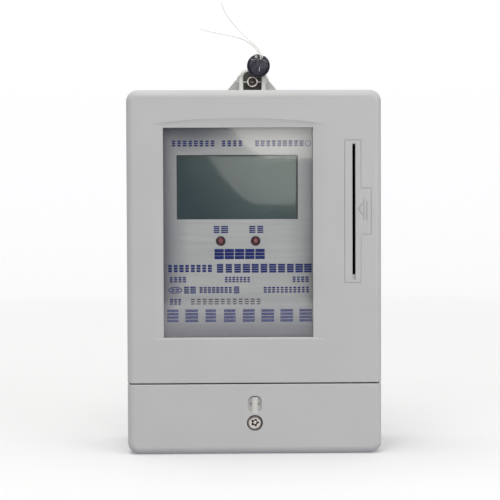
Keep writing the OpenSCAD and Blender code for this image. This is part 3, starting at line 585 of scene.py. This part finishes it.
def add_screw(bm, x, z, head_r, y0, y1, shank_r, tip, pitch=0.7, star=False, dome=0.35, turn=0.0, reach=0.66):
    """A pan-head screw along Y, in mm: head from y0 to y1, threaded shank to tip. dome is the crown's height,
    and reach the recess's share of the head's radius. The recess is a cross, or a star round a pin."""
    depth = (y1 - y0) * 0.6
    arm = head_r * reach
    edge = min(0.35, (y1 - y0) * 0.3)
    thread_depth = 0.16
    rows = [(0, tip), (shank_r * 0.45, tip), (shank_r * 0.7, tip - 0.25)]
    thread_rows = thread(rows, shank_r, tip - 0.7, y1 + 0.3, pitch)
    rows += [(shank_r * 0.86, y1 + 0.15), (shank_r * 0.9, y1)]
    rows += [(head_r - edge * 0.4, y1), (head_r, y1 - edge * 0.4), (head_r, y0 + dome + edge)]
    for k in range(1, 5):
        a = math.pi / 2 * k / 4
        rows.append((head_r - edge * (1 - math.cos(a)), y0 + dome + edge * (1 - math.sin(a))))
    rim = rows[-1][0]
    for t in (0.9, 0.8, 0.72):
        rows.append((rim * t, y0 + dome * (1 - math.sqrt(1 - (t - 0.2) ** 2)) * 0.9))
    first = len(rows)
    rows += [(arm, y0 + dome * 0.18), (arm * 0.97, y0 + dome * 0.18 + 0.08), (arm * 0.72, y0 + depth)]
    recess_rows = range(first, len(rows))
    if star:
        pin = y0 + dome * 0.3
        rows += [(arm * 0.42, y0 + depth), (arm * 0.4, y0 + dome * 0.5), (arm * 0.3, pin), (0, pin)]
    else:
        rows.append((0, y0 + depth * 1.05))

    def shape(k, a, r):
        if k in thread_rows:
            phase = (rows[k][1] / pitch - a / (2 * math.pi)) % 1.0
            return r * (1.0 - thread_depth * abs(2 * phase - 1))
        if k in recess_rows and star:
            return star_radius(a + turn, arm, arm * 0.62) * r / arm
        if k in recess_rows:
            return cross_radius(a + turn, arm, head_r * 0.2) * (0.8 if k == recess_rows[-1] else 1)
        return r

    # The recess rows get the painted shade
    lathe(bm, (x, z), rows, 72, shape, recess_rows)


def steel_piece(bm, name, body, node):
    """A steel piece whose second look is the painted shade at the foot of a recess."""
    outward(bm)
    piece = add(name, mesh_of(bm, name, 38), "steel", body, (node,))
    piece.data.materials.append(RECESS_SHADE)


def screws(name, node, body, items, **kinds):
    """One piece of one or more screws. items hold add_screw's places and sizes, kinds its options."""
    bm = bmesh.new()
    for item in items:
        add_screw(bm, *item, **kinds)
    steel_piece(bm, name, body, node)


# ---------- housing ----------

# In mm: the front's face, the joint between front and base, the joint between front and terminal cover, the
# foot of the sealing tab, the middle of the card slot, and the radius of the seal eye's rib
FRONT, SEAM, SPLIT, TAB_FOOT, SLOT_X, RIB_R = -29.0, 5.0, 31.0, 161, 43.8, 1.66


def on_plane(edge, axis, value):
    """Whether an edge lies in a plane across an axis."""
    return all(abs(v.co[axis] / MM - value) < 0.05 for v in edge.verts)


def is_rib(face):
    """Whether a face is on the seal eye's half-round rib, which gets a painted highlight."""
    place = face.calc_center_median() / MM
    off = abs(math.hypot(place.x, place.y - FRONT - 1.7) - RIB_R)
    return 17.5 < place.z < 25.1 and off < 0.12 and place.y < FRONT + 1.7


def front_paint(face):
    """1 in the sealing tab's well, 2 on its cheeks, 3 at the foot of the card symbol, 0 elsewhere; 1 and 3
    are painted shade, 2 a painted highlight.
    """
    place = face.calc_center_median() / MM
    if abs(face.normal.y) < 0.9:
        return 0
    if place.z > TAB_FOOT - 1:
        if 2.4 < place.y < 3.0 and abs(place.x) < 5 and place.z < 170:
            return 1
        return 2 if place.y < -1.2 and place.z > TAB_FOOT - 0.5 else 0
    symbol = place.x > SLOT_X + 1.3 and 101 < place.z < 113
    return 3 if symbol and FRONT + 0.03 < place.y < FRONT + 0.6 else 0


def in_card_outline(edge):
    """Whether an edge is one of the fine grooves round the card slot, which stay sharp. The slot's own right
    and short edges are rounded."""
    place = middle(edge)
    of_slot = abs(abs(place.x - SLOT_X - 0.6) - 0.5) <= 0.4
    return place.y < FRONT + 0.5 and place.x > 38 and 75 < place.z < 145 and not of_slot


def in_trough(place):
    """Whether a vertex is on the crest of the curved trough over the window."""
    return place.y < FRONT + 0.01 and abs(place.x) < 46 and 144.9 < place.z < 148.5


front = eased(
    "front_cover", "front_shell", "shell",
    edges=[
        (0.42, lambda e: on_plane(e, 2, SPLIT + 0.25) and middle(e).y < SEAM),
        (0.30, lambda e: on_plane(e, 1, SEAM - 0.3) and middle(e).z < TAB_FOOT and abs(middle(e).x) > 55),
        (0.45, lambda e: on_plane(e, 1, -1.5) and middle(e).z > TAB_FOOT),
    ],
    default=0.1, keep=in_card_outline, crease=in_trough, paint=front_paint,
)
# The well's painted shade, the cheeks' painted highlight and the symbol's painted shade
for look in (WELL_SHADE, TAB_HIGHLIGHT, GROOVE_SHADE):
    front.data.materials.append(look)
lower = eased(
    "terminal_cover", "terminal_cover_shell", "shell", "terminal_cover",
    edges=[(0.45, lambda e: on_plane(e, 2, SPLIT - 0.25) and middle(e).y < SEAM)],
    default=0.14, paint=is_rib,
)
# The rib's faces get the painted highlight
lower.data.materials.append(RIB_HIGHLIGHT)
eased("base_shell", "base", "shell",
      edges=[(0.3, lambda e: on_plane(e, 1, SEAM + 0.3) and middle(e).z < TAB_FOOT)], default=0.16)
eased("terminal_block", "block", "black_plastic", default=0.15)
guide = eased("card_guide", "card_guide_body", "black_plastic", default=0.15)
guide.data.materials[0] = GUIDE
eased("relay_housing", "relay_case", "white_plastic", default=0.2)


# ---------- screws ----------

def sealing_screw():
    """The long screw in the tab's well: a raised rim round a dished face with a shallow cross."""
    rows = [
        (0, 13), (0.7, 13), (1.1, 12.6), (1.4, 12.0), (1.4, 2.7), (2.35, 2.65), (2.5, 2.5), (2.5, -0.5),
        (2.46, -0.7), (2.34, -0.85), (2.18, -0.9), (1.98, -0.86), (1.84, -0.74), (1.76, -0.5), (1.7, -0.3),
        (1.62, -0.26), (1.4, -0.24), (1.3, 0.0), (1.1, 0.9), (0, 1.1),
    ]
    dished, cross = range(13, 19), range(16, 19)
    turn = 0.5

    def shape(k, a, r):
        return cross_radius(a + turn, r, 0.38 if k == cross[0] else 0.3) if k in cross else r

    bm = bmesh.new()
    # The dished face gets the painted shade
    lathe(bm, (0, 165.4), rows, 96, shape, dished)
    steel_piece(bm, "sealing_screw", "housing", "cover_seal_screw")


screws("terminal_cover_screw_head", "terminal_cover_screw", "terminal_cover_screw",
       [(0, 13.6, 3.2, -27.8, -25.6, 1.75, -13)], star=True, dome=0.45, reach=0.56)
sealing_screw()
for n in range(8):
    x, z = (-34, -17, 17, 34)[n // 2], (10, 22)[n % 2]
    screws(f"clamp_screw_{n + 1}", f"terminal_screw_{n + 1}", f"terminal_screw_{n + 1}",
           [(x, z, 2.9, -14.8, -11.8, 2.0, -3.7)], turn=0.5 * n)
for side, x in (("left", -6.5), ("right", 6.5)):
    screws(f"clamp_screw_aux_{side}", f"aux_screw_{side}", f"aux_screw_{side}",
           [(x, 22, 1.8, -11, -9, 1.25, -1.5)], dome=0.2, pitch=0.5, turn=0.7)
screws("block_screws", "terminal_block_screws", "housing",
       [(x, 25, 2.7, 0.5, 2.95, 1.4, 21) for x in (-25.5, 25.5)])
screws("cover_fixing_screws", "cover_screws", "housing",
       [(x, 27.5, 2.8, -1.2, 1.45, 1.4, 20) for x in (-48, 48)])
screws("board_fixing_screws", "board_screws", "housing",
       [(x, z, 2.6, -11, -9.05, 1.1, 2) for x in (-46, 30) for z in (42.5, 146)])


# ---------- seal ----------

# In mm: the seal's middle, front, back and radius, the depth of its mouth, and the radius of its face
SEAL_X, SEAL_Z, SEAL_FRONT, SEAL_BACK, SEAL_R = 2.7, 172.3, -5.6, -1.9, 5.2
MOUTH_DEPTH, FACE_R = 2.6, 4.94


def ease(value, low, high):
    """0 below low, 1 above high, and a smooth step between."""
    t = min(1.0, max(0.0, (value - low) / (high - low)))
    return t * t * (3 - 2 * t)


def inside(value, low, high, soft):
    """1 from low to high, falling to 0 over a soft stretch on both sides."""
    return ease(value, low - soft, low) * (1 - ease(value, high, high + soft))


def blend(a, b, share):
    """a where share is 0, b where it is 1."""
    return a + (b - a) * share


def brow(x):
    """Height of the arched step between the seal's domed face and its flat top."""
    return 2.85 - (0.085 if x > -0.2 else 0.035) * (x + 0.2) ** 2


def seal_depth(x, z):
    """How far the seal's front lies behind its rim, at a place in mm from its middle."""
    r = math.hypot(x, z)
    depth = 0.95 * (1 - ease(r, 4.72, 4.86))
    dome = 0.14 + 0.6 * (r / 4.6) ** 3
    ripple = 0.07 * math.sin(7.0 * math.hypot(x + 1.6, z + 0.6)) * ease(x, -0.1, 1.2)
    scar = 0.03 * math.sin(7.0 * (x + 0.9 * z)) * (1 - ease(x, -2.2, -0.6))
    face = (1 - ease(r, 4.42, 4.6)) * (1 - ease(z, brow(x) - 0.22, brow(x)))
    depth = blend(depth, dome + ripple + scar, face)
    lip = inside(z, brow(x) - 0.02, brow(x) + 0.26, 0.12) * (1 - ease(r, 4.5, 4.7))
    depth = blend(depth, 0.28, lip)
    blocks = [(-1.75, -0.45, 3.3, 5.6, 0.12), (-3.6, -2.3, 2.9, 3.7, 0.45), (2.5, 4.3, 1.9, 3.9, 0.3)]
    for x0, x1, z0, z1, level in blocks:
        depth = blend(depth, level, inside(x, x0, x1, 0.12) * inside(z, z0, z1, 0.12))
    half = 0.35 + 0.62 * max(0.0, z - 3.2)
    mouth = (1 - ease(abs(x - 1.15 - 0.1 * (z - 3.2)), half - 0.05, half + 0.1)) * ease(z, 3.0, 3.25)
    depth = blend(depth, MOUTH_DEPTH, mouth)
    slit = inside(x, -0.48, -0.1, 0.08) * inside(z, -2.75, -0.25, 0.12)
    depth = blend(depth, 1.3, slit)
    tongue = inside(x - 0.06 * z, 0.3, 0.62, 0.08) * inside(z, -2.6, -0.45, 0.15)
    return depth - 0.32 * tongue


def in_seal_highlight(x, z):
    """Whether a place on the seal's face gets a painted highlight: its tongue, the block beside its mouth, a
    spot left of the block, and the arched step."""
    tongue = abs(x - 0.06 * z - 0.46) < 0.17 and -2.6 < z < -0.45
    block = -1.7 < x < -0.5 and 3.45 < z < 4.7
    spot = math.hypot(x + 2.3, (z - 2.75) * 1.6) < 0.42
    arch = abs(z - brow(x) - 0.08) < 0.09 and math.hypot(x, z) < 4.4
    return tongue or block or spot or arch


def seal_disc():
    """A moulded disc: raised rim, domed face, a V-shaped mouth for the tails, and a slit with its tongue."""
    segments, rings_across = 240, 64
    nub_angle = 102
    mouth_x = 1.32
    side = [
        (0.0, SEAL_BACK), (2.0, SEAL_BACK), (4.4, SEAL_BACK), (4.8, SEAL_BACK - 0.12),
        (5.05, SEAL_BACK - 0.35), (5.18, SEAL_BACK - 0.8), (SEAL_R, SEAL_BACK - 1.4), (5.1, SEAL_BACK - 1.62),
        (5.1, SEAL_BACK - 1.9), (SEAL_R, SEAL_BACK - 2.1), (SEAL_R, SEAL_FRONT + 0.6),
        (5.13, SEAL_FRONT + 0.22), (5.02, SEAL_FRONT + 0.06),
    ]
    across = [(FACE_R - FACE_R * k / rings_across, None) for k in range(rings_across + 1)]
    bm = bmesh.new()
    rings = []
    for r, y in side + across:
        ring = []
        for i in range(segments if r else 1):
            a = 2 * math.pi * i / segments
            x, z = r * math.cos(a), r * math.sin(a)
            grow = 1.0
            depth = seal_depth(x, z) if y is None else y - SEAL_FRONT
            if y is not None and SEAL_FRONT + 0.1 < y < SEAL_BACK - 0.2:
                grow += 0.018 * (1 - ease(abs(math.degrees(a) - nub_angle), 7, 9))
            if y is not None and y < SEAL_BACK - 1.0 and r > 4.9:
                mouth = (1 - ease(abs(x - mouth_x), 1.25, 1.4)) * (z > 0)
                depth = blend(depth, max(depth, MOUTH_DEPTH), mouth)
            place = (SEAL_X + x * grow, SEAL_FRONT + depth, SEAL_Z + z * grow)
            ring.append(bm.verts.new([c * MM for c in place]))
        rings.append(ring)
    skin(bm, rings)
    bmesh.ops.remove_doubles(bm, verts=bm.verts, dist=1e-7)
    outward(bm)
    # Faces in the painted highlights get the second look
    for face in bm.faces:
        place = face.calc_center_median() / MM
        if place.y < SEAL_FRONT + 1.2 and in_seal_highlight(place.x - SEAL_X, place.z - SEAL_Z):
            face.material_index = 1
    disc = add("seal_disc", mesh_of(bm, "seal_disc", 70), "seal", "seal", ("seal_body",))
    disc.data.materials.append(SEAL_HIGHLIGHT)


seal_disc()


# ---------- display and nameplate ----------

# In mm: left, right, bottom and top of the display's glass, the nameplate's face, and the print's face
LCD = (-34.1, 19.5, 103.2, 131.6)
PLATE_Y = -22.2
PRINT_Y = PLATE_Y - 0.012


def corners(x0, x1, z0, z1):
    """The four corners of an upright rectangle, as (x, z) places."""
    return [(x0, z0), (x1, z0), (x1, z1), (x0, z1)]


def ring_at(bm, outline, y):
    """Vertices round an outline of (x, z) places, at one depth."""
    return [bm.verts.new((x * MM, y * MM, z * MM)) for x, z in outline]


def printed(bm, name, slot, ink):
    """A printed piece in its own ink."""
    piece = add(name, mesh_of(bm, name), slot)
    piece.data.materials[0] = ink


def display_shadow_rim(widths, y0, y1):
    """A black edge on the display's glass, a painted shadow of the nameplate's opening. widths are left,
    right, bottom and top.
    """
    x0, x1, z0, z1 = LCD
    left, right, bottom, top = widths
    outer, inner = corners(*LCD), corners(x0 + left, x1 - right, z0 + bottom, z1 - top)
    bm = bmesh.new()
    rings = [ring_at(bm, outline, y) for outline, y in ((outer, y0), (inner, y0), (inner, y1), (outer, y1))]
    skin(bm, rings + rings[:1])
    outward(bm)
    printed(bm, "lcd_shadow_rim", "lcd", SHADOW_RIM)


def tilted_pane():
    """The display's glass, which sits in its holder with its top and right edges a little further back."""
    low, high = (Vector(c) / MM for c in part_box("lcd_glass"))
    chamfer = 0.3
    lean_up, lean_right = 0.0245, 0.005
    bm = bmesh.new()
    rings = []
    for inset, depth in ((0.0, high.y), (0.0, low.y + chamfer), (chamfer, low.y)):
        ring = []
        for x, z in corners(low.x + inset, high.x - inset, low.z + inset, high.z - inset):
            lean = 0.0 if depth == high.y else lean_up * (z - low.z) + lean_right * (x - low.x)
            ring.append(bm.verts.new((x * MM, (depth + lean) * MM, z * MM)))
        rings.append(ring)
    skin(bm, rings)
    bm.faces.new(rings[0])
    bm.faces.new(rings[-1])
    outward(bm)
    add("lcd_pane", mesh_of(bm, "lcd_pane"), "lcd", replaces=("lcd_glass",))


def bar(bm, x0, x1, z0, z1):
    """A flat printed mark on the nameplate, a hundredth of a millimetre proud."""
    front_ring = ring_at(bm, corners(x0, x1, z0, z1), PRINT_Y)
    back_ring = ring_at(bm, corners(x0, x1, z0, z1), PLATE_Y)
    bm.faces.new(front_ring)
    skin(bm, [back_ring, front_ring])


def print_line(bm, draws, x0, x1, z0, z1, count, fill, rows, weight, skip=()):
    """A line of stand-in print: count cells, each a plain stack of dashes that spells nothing. fill is a
    dash's share of its cell's width, weight its share of a row's height, and skip the cells left empty."""
    cell = (x1 - x0) / count
    tall = (z1 - z0) / rows
    for k in range(count):
        if k in skip:
            continue
        middle_x = x0 + (k + 0.5) * cell
        half = cell * fill / 2 * draws.uniform(0.82, 1.06)
        for row in range(rows):
            z = z0 + (row + 0.5) * tall
            bar(bm, middle_x - half, middle_x + half, z - tall * weight / 2, z + tall * weight / 2)


def oval(bm, x, z, rx, rz, thick):
    """A printed oval ring."""
    segments = 40
    angles = [2 * math.pi * i / segments for i in range(segments)]
    rings = []
    for grow in (0.0, -thick):
        outline = [(x + (rx + grow) * math.cos(a), z + (rz + grow) * math.sin(a)) for a in angles]
        rings.append(ring_at(bm, outline, PRINT_Y))
    skin(bm, rings)


def plate_print(draws):
    """The blue print: a title over the display, two short words, five stacks of bars, and the small lines."""
    bm = bmesh.new()
    print_line(bm, draws, -36.6, 22.4, 135.3, 138.1, 24, 0.7, 3, 0.7, skip=(8, 13, 14))
    for x0, x1 in ((-18.3, -11.2), (-2.5, 4.6)):
        print_line(bm, draws, x0, x1, 97.0, 100.4, 2, 0.86, 4, 0.7)
    for x0, x1, z0, z1, count, fill, rows, weight in (
        (-38.4, -18.3, 79.8, 83.2, 8, 0.74, 3, 0.8),
        (-17.0, 25.8, 79.5, 83.5, 11, 0.86, 4, 0.84),
        (-37.6, -29.9, 75.2, 77.9, 4, 0.74, 3, 0.68),
        (-13.1, -1.6, 75.2, 77.9, 7, 0.74, 3, 0.68),
        (16.8, 24.4, 75.2, 77.9, 4, 0.74, 3, 0.68),
        (-36.8, -33.0, 71.1, 72.7, 2, 0.8, 2, 0.6),
        (-31.3, -25.6, 70.3, 73.6, 2, 0.88, 4, 0.7),
        (-24.4, -9.6, 70.5, 73.4, 8, 0.78, 3, 0.7),
        (-9.2, -6.4, 70.3, 73.6, 1, 0.9, 4, 0.7),
        (4.0, 24.6, 70.5, 73.4, 11, 0.74, 3, 0.66),
        (-37.4, -32.1, 65.3, 68.2, 3, 0.76, 3, 0.68),
    ):
        print_line(bm, draws, x0, x1, z0, z1, count, fill, rows, weight)
    big_left, big_step, big_half = -36.1, 8.42, 2.75
    for k in range(8):
        x = big_left + k * big_step
        print_line(bm, draws, x - big_half, x + big_half, 57.6, 63.5, 1, 1.0, 4, 0.78)
    bar_left, bar_step, bar_wide = -17.5, 4.52, 4.15
    bar_foot, bar_rise, bar_tall = 85.6, 1.55, 1.4
    for k in range(5):
        x0 = bar_left + k * bar_step
        for row in range(3):
            z0 = bar_foot + row * bar_rise
            bar(bm, x0, x0 + bar_wide, z0, z0 + bar_tall)
    oval(bm, 24.0, 136.7, 1.35, 1.4, 0.34)
    oval(bm, -34.9, 71.9, 3.0, 1.5, 0.36)
    printed(bm, "nameplate_print", "plate", INK_BLUE)


def dark_print_and_led_shadows(draws):
    """The dark print: the number line, and a painted shadow ring round each light."""
    bm = bmesh.new()
    print_line(bm, draws, -28.5, 3.3, 65.3, 68.3, 12, 0.7, 3, 0.5)
    # Painted shadow: a dark ring where each light's hole in the nameplate shades it
    for led in ("led_alarm", "led_pulse"):
        low, high = (Vector(c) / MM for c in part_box(led))
        oval(bm, (low.x + high.x) / 2, (low.z + high.z) / 2, 2.2, 2.2, 0.42)
    printed(bm, "nameplate_dark_print_and_led_shadows", "plate", DARK_INK_AND_SHADOW)


tilted_pane()
display_shadow_rim((0.35, 0.62, 0.2, 0.45), -21.78, -21.7)
draws = random.Random(7)
plate_print(draws)
dark_print_and_led_shadows(draws)


# ---------- remaining CAD nodes ----------

def smoothing_group():
    """A node group that shades a piece smooth except at edges of more than 30 degrees."""
    group = bpy.data.node_groups.new("smooth_by_angle", "GeometryNodeTree")
    group.interface.new_socket("Geometry", in_out="INPUT", socket_type="NodeSocketGeometry")
    group.interface.new_socket("Geometry", in_out="OUTPUT", socket_type="NodeSocketGeometry")
    nodes, links = group.nodes, group.links
    start, end = nodes.new("NodeGroupInput"), nodes.new("NodeGroupOutput")
    faces = nodes.new("GeometryNodeSetShadeSmooth")
    edges = nodes.new("GeometryNodeSetShadeSmooth")
    edges.domain = "EDGE"
    edges.inputs["Shade Smooth"].default_value = False
    angle = nodes.new("GeometryNodeInputMeshEdgeAngle")
    over = nodes.new("ShaderNodeMath")
    over.operation = "GREATER_THAN"
    over.inputs[1].default_value = math.radians(30)
    links.new(start.outputs[0], faces.inputs["Geometry"])
    links.new(faces.outputs[0], edges.inputs["Geometry"])
    links.new(angle.outputs["Unsigned Angle"], over.inputs[0])
    links.new(over.outputs[0], edges.inputs["Selection"])
    links.new(edges.outputs[0], end.inputs[0])
    return group


def finish_node(obj, slot, group):
    """Gives a CAD node that stays its look, and rounds its edges by a hair."""
    for place in obj.material_slots:
        place.material = LOOKS[slot]
    weld = obj.modifiers.new("weld", "WELD")
    weld.merge_threshold = WELD
    if slot not in ("lens", "plate", "lcd", "wire"):
        bevel = obj.modifiers.new("bevel", "BEVEL")
        bevel.width = 0.08 * MM
        bevel.segments = 2
        bevel.limit_method = "ANGLE"
        bevel.angle_limit = math.radians(40)
    smooth = obj.modifiers.new("smooth", "NODES")
    smooth.node_group = group


smoothing = smoothing_group()
slots = {part["node"]: part["material_slot"] for part in frame["record"]["subparts"]}
for name, obj in NODES.items():
    if not obj.hide_render:
        finish_node(obj, slots[name], smoothing)
NODES["window_lens"].visible_shadow = False


# ---------- studio ----------

# The floor lies a hair under the meter and turns up into a wall; then the colours of the three lights
FLOOR_Z, FLOOR_R, COVE_R, WALL_TOP = -0.0002, 1.1, 0.6, 2.2
KEY, FILL, TOP = (1.0, 0.995, 0.98), (0.99, 0.99, 1.0), (1.0, 0.995, 0.94)


def stage_material():
    """A pale sweep that glows a little more with height and with distance, so that no horizon shows."""
    s = Shade("pale_floor")
    colour = (0.805, 0.805, 0.82)
    base = s.ramp(s.noise(3, 3), (0.3, scaled(colour, 0.995)), (0.7, colour))
    far = s.node("ShaderNodeVectorMath", {0: s.coord}, operation="LENGTH").outputs["Value"]
    rise = s.ramp(s.steps(s.axis("Z"), 0.0, 0.5), (0.0, (0, 0, 0)), (0.5, (0.09, 0.09, 0.115)),
                  (1.0, (0.215, 0.215, 0.22)))
    glow = s.mix(1.0, rise, s.steps(far, 0.25, FLOOR_R, 0.0, 0.17), "ADD")
    return s.set(Base_Color=base, Roughness=0.7, Specular_IOR_Level=0.15, Emission_Color=glow,
                 Emission_Strength=1.0)


def sweep(name, rows, look):
    """A stage piece turned round the upright axis through the origin. rows are (radius, height)."""
    segments = 96
    bm = bmesh.new()
    rings = []
    for r, z in rows:
        angles = [2 * math.pi * i / segments for i in range(segments if r else 1)]
        rings.append([bm.verts.new((r * math.cos(a), r * math.sin(a), z)) for a in angles])
    skin(bm, rings)
    outward(bm)
    obj = bpy.data.objects.new(name, mesh_of(bm, name, 60))
    scene.collection.objects.link(obj)
    obj.data.materials.append(look)
    return obj


stage_look = stage_material()
floor = sweep("floor", [(r, FLOOR_Z) for r in (0, 0.3, 0.6, FLOOR_R)], stage_look)
floor.visible_diffuse = False
quarter = [math.pi / 2 * k / 10 for k in range(1, 11)]
bend = [(FLOOR_R + COVE_R * math.sin(a), COVE_R * (1 - math.cos(a))) for a in quarter]
cove = sweep("backdrop", [(FLOOR_R, FLOOR_Z)] + bend + [(FLOOR_R + COVE_R, WALL_TOP)], stage_look)
cove.visible_diffuse = cove.visible_glossy = cove.visible_transmission = cove.visible_shadow = False


def studio_world():
    """Soft light from all round: violet grey from below, dimmest at eye level, and brightest from above."""
    world = bpy.data.worlds.new("studio")
    scene.world = world
    world.use_nodes = True
    tree = world.node_tree
    coord = tree.nodes.new("ShaderNodeTexCoord")
    split = tree.nodes.new("ShaderNodeSeparateXYZ")
    ramp = tree.nodes.new("ShaderNodeValToRGB")
    spread = tree.nodes.new("ShaderNodeMapRange")
    spread.inputs["From Min"].default_value = -1
    tree.links.new(coord.outputs["Generated"], split.inputs[0])
    tree.links.new(split.outputs["Z"], spread.inputs["Value"])
    tree.links.new(spread.outputs["Result"], ramp.inputs["Fac"])
    set_stops(ramp, [(0.0, (0.64, 0.63, 0.72)), (0.49, (0.52, 0.53, 0.58)), (0.53, (0.78, 0.78, 0.80)),
                     (1.0, (1.1, 1.09, 1.05))])
    tree.links.new(ramp.outputs["Color"], tree.nodes["Background"].inputs["Color"])
    tree.nodes["Background"].inputs["Strength"].default_value = 0.845


studio_world()


def area(name, place, target, size, watts, colour):
    """A rectangular light that the camera doesn't see."""
    data = bpy.data.lights.new(name, "AREA")
    data.shape = "RECTANGLE"
    data.size, data.size_y = size
    data.energy = watts
    data.color = colour
    obj = bpy.data.objects.new(name, data)
    scene.collection.objects.link(obj)
    aim(obj, place, target)
    obj.visible_camera = False


area("key", (-0.2, -1.1, 1.25), (0, 0, 0.08), (1.0, 1.0), 8.4, KEY)
area("fill", (0.95, -1.0, 0.45), (0, 0, 0.08), (0.8, 0.8), 5.2, FILL)
area("top", (-0.25, 0.05, 1.3), (0, 0, 0.1), (0.9, 0.7), 3.0, TOP)


def card(name, points, y, colour, strength):
    """A studio card behind the camera that only shows in reflections."""
    bm = bmesh.new()
    bm.faces.new([bm.verts.new((x, y, z)) for x, z in points])
    data = bpy.data.meshes.new(name)
    bm.to_mesh(data)
    bm.free()
    material = bpy.data.materials.new(name)
    material.use_nodes = True
    tree = material.node_tree
    tree.nodes.clear()
    emission = tree.nodes.new("ShaderNodeEmission")
    output = tree.nodes.new("ShaderNodeOutputMaterial")
    emission.inputs["Color"].default_value = (*colour, 1)
    emission.inputs["Strength"].default_value = strength
    tree.links.new(emission.outputs[0], output.inputs[0])
    data.materials.append(material)
    obj = bpy.data.objects.new(name, data)
    scene.collection.objects.link(obj)
    obj.visible_camera = obj.visible_diffuse = obj.visible_shadow = False


# The dark flag fills the window's reflection, but for the bright patch whose lower left edge is curved
card("dark_flag", corners(-0.42, 0.44, -0.3, 0.5), -1.04, (0.75, 0.8, 1.0), 0.16)
card("bright_card", [
    (0.42, 0.1545), (0.42, 0.48), (-0.03, 0.48), (-0.03, 0.215), (-0.011, 0.200), (-0.002, 0.187),
    (0.0085, 0.174), (0.022, 0.161), (0.030, 0.157), (0.0373, 0.1545),
], -1.03, (1.0, 0.98, 0.92), 2.3)
